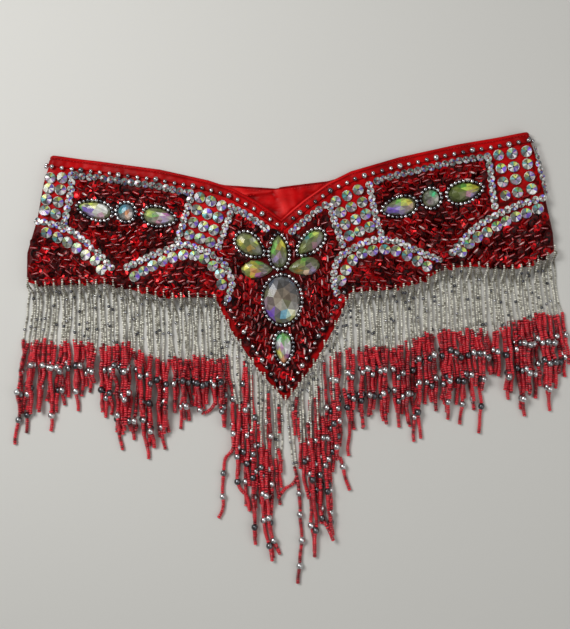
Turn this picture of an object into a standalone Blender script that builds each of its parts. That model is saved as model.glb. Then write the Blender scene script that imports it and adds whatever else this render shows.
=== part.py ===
"""A belly dance hip belt laid flat: a closed satin loop whose front dips at the waist and drops to a
deep V, with a bead fringe along its hem and thirteen large sew-on stones.

+X runs across the belt, +Y towards the waist and +Z up from the surface that it lies on. The origin is
on the back panel's underside, below the dip in the front. Sizes here are in millimetres, and MM turns
them into Blender's metres.
"""

import math
from collections import namedtuple

import bmesh
import bpy
import numpy as np

MM = 0.001
COLLECTION = "belly_dance_hip_belt"

WALL = 2.0  # satin, interlining and what is stitched through them
GAP = 0.3  # between neighbouring pieces
FRONT_FACE = 2 * WALL + GAP  # height of the front's outer face where it lies on the back
FOLD_RADIUS = 4.0  # outside of the soft fold at each side of the laid loop
RISE = 26.0  # width over which the front rises to the fold
SEAM_ANGLE = math.radians(115)  # side seam, measured round the fold from its top
FOLD_STEP = math.radians(8)
SEAM_GAP_ANGLE = GAP / (FOLD_RADIUS - WALL) + FOLD_STEP  # each rim leans by half a step
FAN_START = 120.0  # columns past this lean out with the belt's side
BINDING_WIDTH = 8.4
BINDING_THICKNESS = 0.8
FRINGE_HEIGHT = 4.0

PANEL_ROWS = 9
FRONT_STEP = 8.0  # widest column of the front's mesh
BACK_STEP = 16.0

Fold = namedtuple("Fold", "y left right")
FOLDS = (  # the loop's two side edges, from the waist down
    Fold(66, -188, 208),
    Fold(40, -197, 216.5),
    Fold(10, -203.5, 221),
    Fold(-18, -213, 226),
    Fold(-46, -214.5, 227),
)

Edge = namedtuple("Edge", "x y")
FRONT_WAIST = (
    Edge(-188, 61.5),
    Edge(-150, 55.7),
    Edge(-100, 47),
    Edge(-60, 36.5),
    Edge(-40, 29),
    Edge(-20, 17.5),
    Edge(-10, 10),
    Edge(0, 2),
    Edge(10, 10),
    Edge(20, 17.5),
    Edge(40, 30.5),
    Edge(60, 39.5),
    Edge(100, 49.5),
    Edge(150, 58.5),
    Edge(208, 66),
)
FRONT_HEM = (
    Edge(-214, -42),
    Edge(-200, -46),
    Edge(-150, -45.5),
    Edge(-130, -51),
    Edge(-105, -58),
    Edge(-80, -60),
    Edge(-58, -61),
    Edge(-45, -90),
    Edge(-25, -122),
    Edge(-2, -150),
    Edge(24, -118),
    Edge(42, -88),
    Edge(55.5, -61),
    Edge(90, -60),
    Edge(112, -56),
    Edge(135, -44),
    Edge(160, -43.5),
    Edge(185, -47),
    Edge(205, -45),
    Edge(227, -33),
)
BACK_WAIST = (
    Edge(-188, 61.5),
    Edge(-120, 49),
    Edge(-50, 33),
    Edge(-8, 28.5),
    Edge(44, 33),
    Edge(120, 51),
    Edge(208, 66),
)
BACK_HEM = (
    Edge(-214, -42),
    Edge(-150, -43),
    Edge(0, -56),
    Edge(135, -42),
    Edge(227, -33),
)

Stone = namedtuple("Stone", "name outline x y length width turn height")
STONES = (  # turn is the way the length points, in degrees from +X; a pear's is towards its tip
    Stone("stone_oval", "ellipse", -2, -65, 39, 30, 90, 6.5),
    Stone("stone_drop", "pear", -2.3, -105, 24.5, 13.5, -90, 5),
    Stone("petal_top", "pear", -3, -24.5, 27, 14, 90, 5),
    Stone("petal_upper_left", "pear", -27, -18.5, 25, 15, -38, 5),
    Stone("petal_upper_right", "pear", 23.5, -18.5, 26, 13, 220, 5),
    Stone("petal_lower_left", "pear", -22, -38.8, 26, 15, -3, 5),
    Stone("petal_lower_right", "pear", 17.5, -38, 26, 15, 187, 5),
    Stone("navette_outer_left", "pear", -155, 15.8, 27, 13, 164, 5),
    Stone("round_left", "ellipse", -129, 13, 13.5, 13.5, 0, 5),
    Stone("navette_inner_left", "pear", -101.5, 8, 26, 13.5, -12, 5),
    Stone("navette_inner_right", "pear", 98.5, 8.5, 27, 14, 190, 5),
    Stone("round_right", "ellipse", 125, 14.7, 14, 14, 0, 5),
    Stone("navette_outer_right", "pear", 153.5, 19, 28, 15, 13, 5),
)
STONE_SIDES = 20
PEAR_POINT = 0.5  # 0 is an ellipse, and more draws the tip out
StoneCut = namedtuple("StoneCut", "scale height")
STONE_CUTS = (  # the rings of a stone: flat back, girdle, crown and table
    StoneCut(0.9, 0.0),
    StoneCut(1.0, 0.25),
    StoneCut(0.8, 0.75),
    StoneCut(0.52, 1.0),
)

Tip = namedtuple("Tip", "x y notch")
FRINGE_LEFT_TIPS = (  # each bunch's lowest point, and how high the space after it reaches
    Tip(-230, -178, -150),
    Tip(-220, -171, -150),
    Tip(-209, -175, -152),
    Tip(-199, -167, -138),
    Tip(-186, -150, -138),
    Tip(-177, -155, -130),
    Tip(-165, -139, -124),
    Tip(-153, -159, -150),
    Tip(-141, -190, -172),
    Tip(-131, -180, -170),
    Tip(-119, -195, -176),
    Tip(-105, -188, -172),
    Tip(-91, -174, -160),
    Tip(-83, -166, -148),
    Tip(-70, -157, -145),
    Tip(-61, -154, -145),
)
FRINGE_RIGHT_TIPS = (
    Tip(61, -178, -160),
    Tip(68, -167, -158),
    Tip(81, -177, -165),
    Tip(91, -176, -165),
    Tip(104, -191, -158),
    Tip(124, -167, -158),
    Tip(133, -172, -152),
    Tip(143, -178, -150),
    Tip(158, -184, -140),
    Tip(173, -139, -134),
    Tip(184, -156, -150),
    Tip(197, -173, -150),
    Tip(218, -169, -142),
    Tip(224, -153, -132),
    Tip(233, -140, -130),
)
TIP_WIDTH = 4.0
FRINGE_LEFT_SIDE = (Edge(-215.2, -42.5), Edge(-219, -92), Edge(-228, -112), Edge(-232, -135))
FRINGE_RIGHT_SIDE = (Edge(236, -135), Edge(235, -110), Edge(231, -85), Edge(229, -33.5))
FRINGE_CENTRE_LEFT = (  # below the left side of the V, from its outer corner round to its tip
    Edge(-57, -171),
    Edge(-51, -170),
    Edge(-53, -195),
    Edge(-61, -247),
    Edge(-55, -247),
    Edge(-46, -212),
    Edge(-39, -241),
    Edge(-34, -268),
    Edge(-30, -268),
    Edge(-26, -258),
    Edge(-19, -283),
    Edge(-11, -277),
    Edge(-15, -236),
    Edge(-15, -196),
    Edge(-6, -172),
)
FRINGE_CENTRE_RIGHT = (  # the same below the right side, from the tip round to the corner
    Edge(6.5, -158),
    Edge(11, -170),
    Edge(8.5, -206),
    Edge(15, -280),
    Edge(20, -280),
    Edge(26, -256),
    Edge(32, -267),
    Edge(33, -250),
    Edge(36, -212),
    Edge(45, -226),
    Edge(49, -225),
    Edge(42, -192),
    Edge(44, -180),
    Edge(55, -179),
)
FRINGE_MIDDLE = (  # the one long strand at the tip of the V
    Edge(-2, -151),
    Edge(0, -180),
    Edge(2, -200),
    Edge(6, -225),
    Edge(6.5, -250),
    Edge(6, -272),
    Edge(2, -303),
)
STRAND_WIDTH = 3.6

Paint = namedtuple("Paint", "red green blue roughness")
SATIN = Paint(0.52, 0.008, 0.014, 0.42)
BINDING_SATIN = Paint(0.42, 0.006, 0.012, 0.45)
CLEAR_STONE = Paint(0.45, 0.46, 0.44, 0.08)
SHIMMER_STONE = Paint(0.42, 0.44, 0.16, 0.1)
FRINGE_BEADS = Paint(0.3, 0.01, 0.02, 0.3)


def clear_scene():
    for existing in list(bpy.data.objects):
        bpy.data.objects.remove(existing, do_unlink=True)


def read(table, column, place, key="x"):
    """A table's column at any value of its key column, straight between the rows."""
    rows = sorted(table, key=lambda row: getattr(row, key))
    keys = [getattr(row, key) for row in rows]
    return float(np.interp(place, keys, [getattr(row, column) for row in rows]))


def smooth(fraction):
    clipped = min(max(fraction, 0.0), 1.0)
    return clipped * clipped * (3 - 2 * clipped)


def axis_reach(sign, y):
    """How far from the middle the fold's axis runs on one side, at height y."""
    side = "right" if sign > 0 else "left"
    return abs(read(FOLDS, side, y, key="y")) - FOLD_RADIUS


def hem_reach(sign):
    return axis_reach(sign, FOLDS[-1].y)


def on_loop(q, angle, y, out=0.0):
    """A point of the loop's outer face, moved out from the cloth.

    q is the column's place across the belt at its hem, and angle how far it has turned round the
    fold: 0 on the front and pi underneath.
    """
    sign = math.copysign(1.0, q)
    axis = axis_reach(sign, y)
    spread = smooth((abs(q) - FAN_START) / (hem_reach(sign) - FAN_START))
    reach = abs(q) + (axis - hem_reach(sign)) * spread
    if angle == 0 and reach < axis:
        risen = smooth(1 - (axis - reach) / RISE)
        return sign * reach, y, FRONT_FACE + (2 * FOLD_RADIUS - FRONT_FACE) * risen + out
    radius = FOLD_RADIUS + out
    return sign * (reach + radius * math.sin(angle)), y, FOLD_RADIUS + radius * math.cos(angle)


def edge_height(table, q, angle):
    """The height at which a leaning column meets an edge drawn over the belt's real width."""
    y = read(table, "y", q)
    for _ in range(3):
        y = read(table, "y", on_loop(q, min(angle, math.pi / 2), y)[0])
    return y


def spread_columns(stops, step):
    """Places across the belt that take in every stop and lie no further apart than step."""
    places = [stops[0]]
    for start, end in zip(stops, stops[1:]):
        count = math.ceil((end - start) / step)
        places += [start + (end - start) * i / count for i in range(1, count + 1)]
    return places


def fold_columns(sign, start, end):
    """Columns round one fold, from angle start to angle end, without the end itself."""
    count = math.ceil(abs(end - start) / FOLD_STEP)
    return [(sign * hem_reach(sign), start + (end - start) * i / count) for i in range(count)]


def front_columns():
    stops = sorted({-hem_reach(-1), 0.0, hem_reach(1)} | {
        row.x for row in FRONT_WAIST[1:-1] + FRONT_HEM if -hem_reach(-1) < row.x < hem_reach(1)
    })
    flat = [(q, 0.0) for q in spread_columns(stops, FRONT_STEP)]
    return fold_columns(-1, SEAM_ANGLE, 0) + flat + fold_columns(1, SEAM_ANGLE, 0)[::-1]


def back_columns():
    stops = [-hem_reach(-1), -50, -8, 44, hem_reach(1)]
    flat = [(q, math.pi) for q in spread_columns(stops, BACK_STEP)]
    seam = SEAM_ANGLE + SEAM_GAP_ANGLE
    return fold_columns(-1, seam, math.pi) + flat + fold_columns(1, seam, math.pi)[::-1]


def make_material(name, paint):
    material = bpy.data.materials.new(name)
    material.use_nodes = True
    shader = material.node_tree.nodes["Principled BSDF"]
    shader.inputs["Base Color"].default_value = (paint.red, paint.green, paint.blue, 1.0)
    shader.inputs["Roughness"].default_value = paint.roughness
    shader.inputs["Metallic"].default_value = 0.0
    return material


def add_object(name, data, paint):
    """Puts a finished mesh or curve in the belt's collection, with its own material."""
    made = bpy.data.objects.new(name, data)
    data.materials.append(make_material(name, paint))
    bpy.data.collections[COLLECTION].objects.link(made)
    return made


def surface_mesh(name, columns, heights, out, outward_down=False):
    """An open sheet through the loop's columns, each with its own list of heights."""
    sheet = bmesh.new()
    grid = []
    for (q, angle), column_heights in zip(columns, heights):
        points = [on_loop(q, angle, y, out) for y in column_heights]
        grid.append([sheet.verts.new([axis * MM for axis in point]) for point in points])
    for left, right in zip(grid, grid[1:]):
        for row in range(len(left) - 1):
            corners = (left[row], left[row + 1], right[row + 1], right[row])
            sheet.faces.new(corners[::-1] if outward_down else corners)
    mesh = bpy.data.meshes.new(name)
    sheet.to_mesh(mesh)
    sheet.free()
    mesh.shade_smooth()
    return mesh


def thicken(sheet, thickness, offset):
    shell = sheet.modifiers.new("thickness", "SOLIDIFY")
    shell.thickness = thickness * MM
    shell.offset = offset
    shell.use_even_offset = True


def make_panel(name, columns, waist, hem, outward_down, paint):
    heights = []
    for q, angle in columns:
        top = edge_height(waist, q, angle)
        bottom = edge_height(hem, q, angle)
        heights.append([top + (bottom - top) * row / PANEL_ROWS for row in range(PANEL_ROWS + 1)])
    panel = add_object(name, surface_mesh(name, columns, heights, 0, outward_down), paint)
    thicken(panel, WALL, -1)


def binding_drop(q):
    """How far straight down a column the binding reaches where the waist edge slopes."""
    inward = math.copysign(2.0, q)
    slope = (read(FRONT_WAIST, "y", q) - read(FRONT_WAIST, "y", q - inward)) / inward
    return BINDING_WIDTH * math.hypot(1, slope)


def make_binding(name, sign):
    """Half of the front's waist binding, laid on the panel from its side seam to the dip."""
    columns = [column for column in front_columns() if column[0] * sign > 0]
    columns.append((sign * GAP / 2, 0.0))
    columns.sort(key=lambda column: (column[0] + sign * column[1]))
    heights = []
    for q, angle in columns:
        top = edge_height(FRONT_WAIST, q, angle)
        heights.append([top, top - binding_drop(q)])
    strip = add_object(name, surface_mesh(name, columns, heights, GAP), BINDING_SATIN)
    thicken(strip, BINDING_THICKNESS, 1)


def stone_outline(shape, length, width):
    """Points round a stone, with its length along X and a pear's tip at +X."""
    turns = [2 * math.pi * i / STONE_SIDES for i in range(STONE_SIDES)]
    point = PEAR_POINT if shape == "pear" else 0.0
    sides = [math.sin(turn) * abs(math.sin(turn / 2)) ** point for turn in turns]
    widest = max(sides)
    return [
        (length / 2 * math.cos(turn), width / 2 * side / widest) for turn, side in zip(turns, sides)
    ]


def make_stone(stone):
    """A flat-backed faceted stone, lofted through its cuts and placed just clear of the front."""
    outline = stone_outline(stone.outline, stone.length, stone.width)
    body = bmesh.new()
    rings = []
    for cut in STONE_CUTS:
        height = cut.height * stone.height * MM
        rings.append(
            [body.verts.new((x * cut.scale * MM, y * cut.scale * MM, height)) for x, y in outline]
        )
    for lower, upper in zip(rings, rings[1:]):
        for i in range(STONE_SIDES):
            after = (i + 1) % STONE_SIDES
            body.faces.new((lower[i], lower[after], upper[after], upper[i]))
    body.faces.new(rings[0][::-1])
    body.faces.new(rings[-1])
    mesh = bpy.data.meshes.new(stone.name)
    body.to_mesh(mesh)
    body.free()
    paint = CLEAR_STONE if stone.name == "stone_oval" else SHIMMER_STONE
    placed = add_object(stone.name, mesh, paint)
    placed.location = (stone.x * MM, stone.y * MM, (FRONT_FACE + GAP) * MM)
    placed.rotation_euler.z = math.radians(stone.turn)


def make_slab(name, outline):
    """The fringe's reach as a flat slab on the surface, filled from a closed outline."""
    curve = bpy.data.curves.new(name, "CURVE")
    curve.dimensions = "2D"
    curve.fill_mode = "BOTH"
    curve.extrude = FRINGE_HEIGHT / 2 * MM
    spline = curve.splines.new("POLY")
    spline.points.add(len(outline) - 1)
    for point, (x, y) in zip(spline.points, outline):
        point.co = (x * MM, y * MM, 0.0, 1.0)
    spline.use_cyclic_u = True
    slab = add_object(name, curve, FRINGE_BEADS)
    slab.location.z = FRINGE_HEIGHT / 2 * MM


def below_hem(start, end, away):
    """The front's hem between two places, moved down clear of it, in order from start to end."""
    low, high = sorted((start, end))
    inside = [row.x for row in FRONT_HEM if low < row.x < high]
    places = [low] + inside + [high]
    points = [(x, read(FRONT_HEM, "y", x) - away) for x in places]
    return points if start < end else points[::-1]


def notched(tips):
    """The fringe's lower outline from left to right: a blunt point for each bunch, then a notch."""
    points = []
    for i, tip in enumerate(tips):
        points += [(tip.x - TIP_WIDTH / 2, tip.y), (tip.x + TIP_WIDTH / 2, tip.y)]
        if i + 1 < len(tips):
            points.append(((tip.x + tips[i + 1].x) / 2, tip.notch))
    return points


def make_fringe():
    side_away = 2 * GAP  # clear of the front's sloping hem
    left_corner, right_corner = -58.0, 55.5
    tip_x = -2.0
    strand_half = STRAND_WIDTH / 2
    left = list(FRINGE_LEFT_SIDE) + notched(FRINGE_LEFT_TIPS)
    make_slab("fringe_left", left + below_hem(left_corner - GAP, -214, side_away))
    right = notched(FRINGE_RIGHT_TIPS) + list(FRINGE_RIGHT_SIDE)
    make_slab("fringe_right", right + below_hem(226.5, right_corner + GAP, side_away))
    v_away = 4 * GAP  # straight down, so that it is clear across the V's steep sides too
    tip_room = strand_half + GAP
    left_v = list(FRINGE_CENTRE_LEFT) + below_hem(tip_x - 2 * tip_room, left_corner, v_away)
    make_slab("fringe_centre_left", left_v)
    right_v = list(FRINGE_CENTRE_RIGHT) + below_hem(right_corner, tip_x + 2 * tip_room, v_away)
    make_slab("fringe_centre_right", right_v)
    down = [(point.x + strand_half, point.y) for point in FRINGE_MIDDLE]
    back_up = [(point.x - strand_half, point.y) for point in reversed(FRINGE_MIDDLE)]
    make_slab("fringe_middle", down + back_up)


def build_belt():
    clear_scene()
    bpy.context.scene.collection.children.link(bpy.data.collections.new(COLLECTION))
    make_panel("front_panel", front_columns(), FRONT_WAIST, FRONT_HEM, False, SATIN)
    make_panel("back_panel", back_columns(), BACK_WAIST, BACK_HEM, True, SATIN)
    make_binding("waist_binding_left", -1)
    make_binding("waist_binding_right", 1)
    for stone in STONES:
        make_stone(stone)
    make_fringe()


build_belt()
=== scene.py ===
import math

import bpy
import numpy as np
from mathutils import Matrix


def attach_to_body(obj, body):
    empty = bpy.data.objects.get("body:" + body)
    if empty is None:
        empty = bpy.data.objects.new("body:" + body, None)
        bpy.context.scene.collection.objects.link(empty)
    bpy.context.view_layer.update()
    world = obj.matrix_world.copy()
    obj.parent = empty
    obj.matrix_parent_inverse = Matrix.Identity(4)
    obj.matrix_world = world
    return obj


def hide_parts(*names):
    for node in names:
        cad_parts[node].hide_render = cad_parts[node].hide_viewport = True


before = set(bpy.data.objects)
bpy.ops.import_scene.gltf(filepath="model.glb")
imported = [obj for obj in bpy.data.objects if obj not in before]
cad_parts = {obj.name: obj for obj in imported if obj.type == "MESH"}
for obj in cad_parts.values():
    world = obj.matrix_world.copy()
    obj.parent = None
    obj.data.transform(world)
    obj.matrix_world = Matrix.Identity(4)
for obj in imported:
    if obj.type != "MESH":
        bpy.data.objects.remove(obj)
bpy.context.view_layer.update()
print("frame loaded:", len(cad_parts), "nodes")

mm = 0.001
chance = np.random.default_rng(20)  # every scattered piece draws from here, in order


# colours, as a dyer would read them off a card: red, green and blue to 255
shades = {
    "white": (250, 250, 248), "pale": (214, 212, 205), "grey": (128, 128, 122),
    "slate": (92, 98, 104), "charcoal": (52, 54, 54), "warmGrey": (150, 142, 128),
    "oliveGrey": (112, 116, 86), "olive": (112, 122, 52), "darkOlive": (74, 82, 44),
    "lime": (206, 224, 96), "paleYellow": (246, 246, 158), "yellow": (228, 216, 70),
    "green": (112, 190, 84), "mint": (150, 214, 176), "jade": (70, 216, 150), "teal": (72, 158, 160),
    "sky": (92, 190, 226), "blue": (84, 92, 200), "violet": (118, 74, 206),
    "lilac": (184, 160, 214), "rose": (206, 140, 168), "pink": (232, 176, 206),
    "magenta": (202, 96, 190), "peach": (246, 206, 178), "orange": (236, 150, 86),
    "mauve": (150, 126, 144), "umber": (104, 92, 80), "steelBlue": (84, 100, 120),
    "goldBrown": (172, 134, 60), "blueGrey": (122, 138, 154),
    "satin": (200, 6, 14), "satinDeep": (148, 2, 8), "satinBright": (226, 18, 24),
    # painted shade for the cloth's hollows and a painted highlight for its crests
    "satinPaintedShade": (70, 0, 4), "satinPaintedHighlight": (246, 60, 58),
    # the last of the next row is painted shade on the cloth under the beads
    "wine": (98, 0, 8), "wineLight": (206, 10, 22), "shadeUnderBeads": (78, 0, 6),
    "sequin": (156, 2, 12), "sequinDark": (76, 0, 6), "sequinBright": (206, 14, 26),
    # the next two are painted highlights, for the bugles' glint and flash
    "glint": (250, 176, 180), "spark": (255, 226, 222),
    "berry": (104, 6, 22), "berryLight": (220, 46, 58), "steel": (216, 216, 218),
    "steelDark": (92, 93, 98), "crystal": (254, 251, 236), "crystalDark": (112, 107, 92),
    "bindingDeep": (134, 2, 8), "bindingRed": (186, 7, 15), "bindingBright": (216, 22, 28),
    "floor": (204, 203, 198), "thread": (120, 10, 20),
}


def linear(name):
    # a card colour as the renderer counts light: each part to the power 2.2
    return tuple((part / 255) ** 2.2 for part in shades[name])


def paint(name):
    # the same colour with full cover, as a socket takes it
    return (*linear(name), 1.0)


# places in millimetres from the belt's origin, lamp sizes in metres and their power in watts
studio = {
    "aim": (0.0, -77.3), "height": 733.0, "turn": -2.2, "lens": 50.0,
    "keyPlace": (-540, 320, 900), "keySize": 0.42, "keyPower": 8.7,
    "fillPlace": (700, -300, 900), "fillSize": 1.0, "fillPower": 3.0,
    "lampsAim": -80.0, "surround": 0.24, "surroundColour": (1.0, 0.99, 0.97, 1.0),
    "floorSide": 14.0, "floorLevel": -0.0002,
}


def lamp(name, place, size, power):
    # a square lamp turned to face the middle of the belt
    data = bpy.data.lights.new(name, "AREA")
    data.size = size
    data.energy = power
    made = bpy.data.objects.new(name, data)
    made.location = [part * mm for part in place]
    away = made.location.copy()
    away.y -= studio["lampsAim"] * mm
    made.rotation_euler = away.to_track_quat("Z", "Y").to_euler()
    bpy.context.scene.collection.objects.link(made)


def setStudio():
    # the camera straight above and turned a little, two lamps, and an even light all round
    view = bpy.data.cameras.new("camera")
    view.lens = studio["lens"]
    view.sensor_width = 36
    made = bpy.data.objects.new("camera", view)
    made.location = (studio["aim"][0] * mm, studio["aim"][1] * mm, studio["height"] * mm)
    made.rotation_euler = (0, 0, math.radians(studio["turn"]))
    bpy.context.scene.collection.objects.link(made)
    bpy.context.scene.camera = made
    lamp("keyLamp", studio["keyPlace"], studio["keySize"], studio["keyPower"])
    lamp("fillLamp", studio["fillPlace"], studio["fillSize"], studio["fillPower"])
    world = bpy.data.worlds.new("surround")
    world.use_nodes = True
    background = world.node_tree.nodes["Background"]
    background.inputs["Color"].default_value = studio["surroundColour"]
    background.inputs["Strength"].default_value = studio["surround"]
    bpy.context.scene.world = world
    bpy.context.scene.view_settings.view_transform = "Standard"


setStudio()
print("studio set")


class Wire:
    # one socket of a material: arithmetic on it adds Math nodes

    def __init__(self, finish, socket):
        self.finish = finish
        self.socket = socket

    def sum(self, operation, first, second):
        return self.finish.node("ShaderNodeMath", {"operation": operation}, {0: first, 1: second})

    def __add__(self, other):
        return self.sum("ADD", self, other)

    def __radd__(self, other):
        return self.sum("ADD", other, self)

    def __sub__(self, other):
        return self.sum("SUBTRACT", self, other)

    def __rsub__(self, other):
        return self.sum("SUBTRACT", other, self)

    def __mul__(self, other):
        return self.sum("MULTIPLY", self, other)

    def __rmul__(self, other):
        return self.sum("MULTIPLY", other, self)


class Finish:
    # a material being painted on one Principled shader

    def __init__(self, name):
        self.material = bpy.data.materials.new(name)
        self.material.use_nodes = True
        self.tree = self.material.node_tree
        self.shader = self.tree.nodes["Principled BSDF"]

    def fill(self, made, sockets):
        # joins each wire to its socket and sets each value on its own
        for key, value in sockets.items():
            if isinstance(value, Wire):
                self.tree.links.new(value.socket, made.inputs[key])
            else:
                made.inputs[key].default_value = value

    def node(self, kind, settings=None, sockets=None, out=0):
        # any node: its settings first, then the values or wires of its sockets
        made = self.tree.nodes.new(kind)
        for key, value in (settings or {}).items():
            if key == "stops":
                first, *middle, last = value
                made.color_ramp.elements[0].position, made.color_ramp.elements[0].color = first
                made.color_ramp.elements[1].position, made.color_ramp.elements[1].color = last
                for place, colour in middle:
                    made.color_ramp.elements.new(place).color = colour
            else:
                setattr(made, key, value)
        self.fill(made, sockets or {})
        return Wire(self, made.outputs[out])

    def place(self, stretch=(1, 1, 1), turn=0.0):
        # the piece's own place in metres, stretched and turned for a pattern
        spot = self.node("ShaderNodeTexCoord", out=3)
        return self.node("ShaderNodeMapping", {}, {0: spot, 2: (0, 0, turn), 3: stretch})

    def noise(self, scale, detail=2.0, stretch=(1, 1, 1), turn=0.0, rough=0.5):
        # clouds from 0 to 1, smaller as the scale grows and longest where the stretch is least
        spot = self.place(stretch, turn)
        sockets = {"Vector": spot, "Scale": scale, "Detail": detail, "Roughness": rough}
        return self.node("ShaderNodeTexNoise", {}, sockets)

    def ramp(self, value, low, high):
        # 0 below low, 1 above high and straight between
        return self.node("ShaderNodeMapRange", {"clamp": True}, {0: value, 1: low, 2: high})

    def blend(self, share, first, second):
        # the first colour where the share is 0, the second where it is 1
        return self.node("ShaderNodeMix", {"data_type": "RGBA"}, {0: share, 6: first, 7: second}, out=2)

    def times(self, first, second):
        # two colours multiplied, part by part
        settings = {"data_type": "RGBA", "blend_type": "MULTIPLY"}
        return self.node("ShaderNodeMix", settings, {0: 1.0, 6: first, 7: second}, out=2)

    def read(self, name, out=0):
        # an attribute of the mesh: 0 is its colour and 2 its number
        return self.node("ShaderNodeAttribute", {"attribute_name": name}, out=out)

    def bump(self, height, strength, distance, before=None):
        # a height turned into a tilt of the surface, over another's where one is given
        sockets = {"Strength": strength, "Distance": distance, "Height": height}
        if before:
            sockets["Normal"] = before
        return self.node("ShaderNodeBump", {}, sockets)

    def done(self, sockets):
        # sets the shader's sockets and hands the material over
        self.fill(self.shader, sockets)
        return self.material


def paintSatin(name, deep, middle, bright, sheen, beaded=False):
    # satin: soft pools of light and dark, long floats across the weave, and fine creases
    cloth = Finish(name)
    pools = cloth.noise(38, 3, (1, 1.6, 1), 0.3)
    mottle = cloth.noise(210, 3, (1, 2.2, 1), 0.1)
    weave = cloth.noise(1700, 2, (0.35, 2.4, 1))
    rib = cloth.noise(900, 1, (0.2, 3.0, 1), 0.05)
    crumple = cloth.noise(85, 2, (1, 2.0, 1), -0.4, 0.6)
    tone = cloth.ramp(pools, 0.34, 0.66)
    colour = cloth.blend(tone, paint(deep), paint(middle))
    colour = cloth.blend(cloth.ramp(mottle, 0.55, 0.78) * 0.5, colour, paint(bright))
    colour = cloth.blend(cloth.ramp(weave, 0.5, 0.72) * 0.22, colour, paint(deep))
    if beaded:  # painted shade: the cloth under the sequins darkened, where they shade it
        colour = cloth.blend(cloth.read("beaded", 2), colour, paint("shadeUnderBeads"))
    relief = cloth.read("relief", 2)  # painted shade in the cloth's hollows, and a painted highlight on its crests
    colour = cloth.blend(cloth.ramp(0.0 - relief, 0.0, 1.0) * 0.85, colour, paint("satinPaintedShade"))
    colour = cloth.blend(cloth.ramp(relief, 0.0, 1.0) * 0.7, colour, paint("satinPaintedHighlight"))
    folds = cloth.bump(crumple, 0.45, 0.0016)
    threads = cloth.bump(weave * 0.6 + rib * 0.4, 0.35, 0.00022, folds)
    return cloth.done({
        "Base Color": colour,
        "Roughness": 0.34 + 0.16 * mottle,
        "Sheen Weight": sheen, "Sheen Roughness": 0.35, "Sheen Tint": (1.0, 0.16, 0.16, 1.0),
        "Specular IOR Level": 0.08,
        "Normal": threads,
    })


def paintGlass(name, dark, light, rough, metal, coat, grain=900):
    # beads: each has its own tone between dark and light, clouded a little
    glass = Finish(name)
    tone = glass.read("tone", 2)
    streak = glass.noise(grain)
    share = glass.ramp(tone + 0.35 * streak, 0.37, 0.97)
    return glass.done({
        "Base Color": glass.blend(share, paint(dark), paint(light)),
        "Roughness": rough + 0.1 * streak,
        "Metallic": metal,
        "IOR": 1.5, "Specular IOR Level": 0.5,
        "Coat Weight": coat, "Coat Roughness": 0.05,
        "Normal": glass.bump(streak, 0.15, 0.0003),
    })


def paintFacets(name, metal, rough, coat, shine, grain=420, dim=0.78):
    # stones, discs, sequins and bugles: each face's given colour with its painted light and shade, dimmed in
    # cloudy specks
    cut = Finish(name)
    cloud = cut.noise(grain)
    specks = cut.blend(cut.ramp(cloud, 0.36, 0.62), (dim, dim, dim, 1), (1, 1, 1, 1))
    return cut.done({
        "Base Color": cut.times(cut.read("facet"), specks),
        "Metallic": metal,
        "Roughness": rough + 0.08 * cloud,
        "Coat Weight": coat, "Coat Roughness": 0.05,
        "Specular IOR Level": shine,
    })


finishes = {
    "satin": paintSatin("redSatin", "satinDeep", "satin", "satinBright", 0.06, True),
    "binding": paintSatin("bindingSatin", "bindingDeep", "bindingRed", "bindingBright", 0.08),
    "lining": paintSatin("liningSatin", "satinDeep", "satin", "satin", 0.1),
    "bugle": paintFacets("wineBugle", 0.0, 0.18, 0.1, 0.35, 1500, 0.3),
    "sequin": paintFacets("wineSequin", 0.55, 0.2, 0.0, 0.3, 700, 0.6),
    "berry": paintGlass("berryBead", "berry", "berryLight", 0.14, 0.0, 0.45),
    "crystal": paintGlass("crystalBead", "crystalDark", "crystal", 0.12, 0.0, 0.4),
    "steel": paintGlass("steelBead", "steelDark", "steel", 0.12, 1.0, 0.2),
    "disc": paintFacets("foiledDisc", 0.1, 0.2, 0.25, 0.4),
    "stone": paintFacets("cutStone", 0.0, 0.2, 0.15, 0.3),
    "thread": paintGlass("redThread", "thread", "satinBright", 0.6, 0.0, 0.0, 1500),
}
print("finishes painted")


def makePiece(name, points, faces, material, rounded=True, tone=None, facet=None, relief=None):
    # points in millimetres and lists of faces, each list with one number of corners
    counts = np.concatenate([np.full(len(group), group.shape[1]) for group in faces])
    corners = np.concatenate([group.ravel() for group in faces]).astype(np.int32)
    starts = np.concatenate([[0], np.cumsum(counts)[:-1]]).astype(np.int32)
    mesh = bpy.data.meshes.new(name)
    mesh.vertices.add(len(points))
    mesh.vertices.foreach_set("co", (np.asarray(points) * mm).astype(np.float32).ravel())
    mesh.loops.add(len(corners))
    mesh.loops.foreach_set("vertex_index", corners)
    mesh.polygons.add(len(counts))
    mesh.polygons.foreach_set("loop_start", starts)
    mesh.polygons.foreach_set("use_smooth", np.full(len(counts), rounded))
    mesh.update(calc_edges=True)
    for key, values in (("tone", tone), ("relief", relief)):
        if values is not None:
            given = mesh.attributes.new(key, "FLOAT", "POINT")
            given.data.foreach_set("value", values.astype(np.float32).ravel())
    if facet is not None:
        given = mesh.attributes.new("facet", "FLOAT_COLOR", "FACE")
        four = np.concatenate([facet, np.ones((len(facet), 1))], axis=1)
        given.data.foreach_set("color", four.astype(np.float32).ravel())
    mesh.materials.append(material)
    made = bpy.data.objects.new(name, mesh)
    bpy.context.scene.collection.objects.link(made)
    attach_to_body(made, "root")
    print(f"  {name}: {int((counts - 2).sum())} triangles")
    return made


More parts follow.
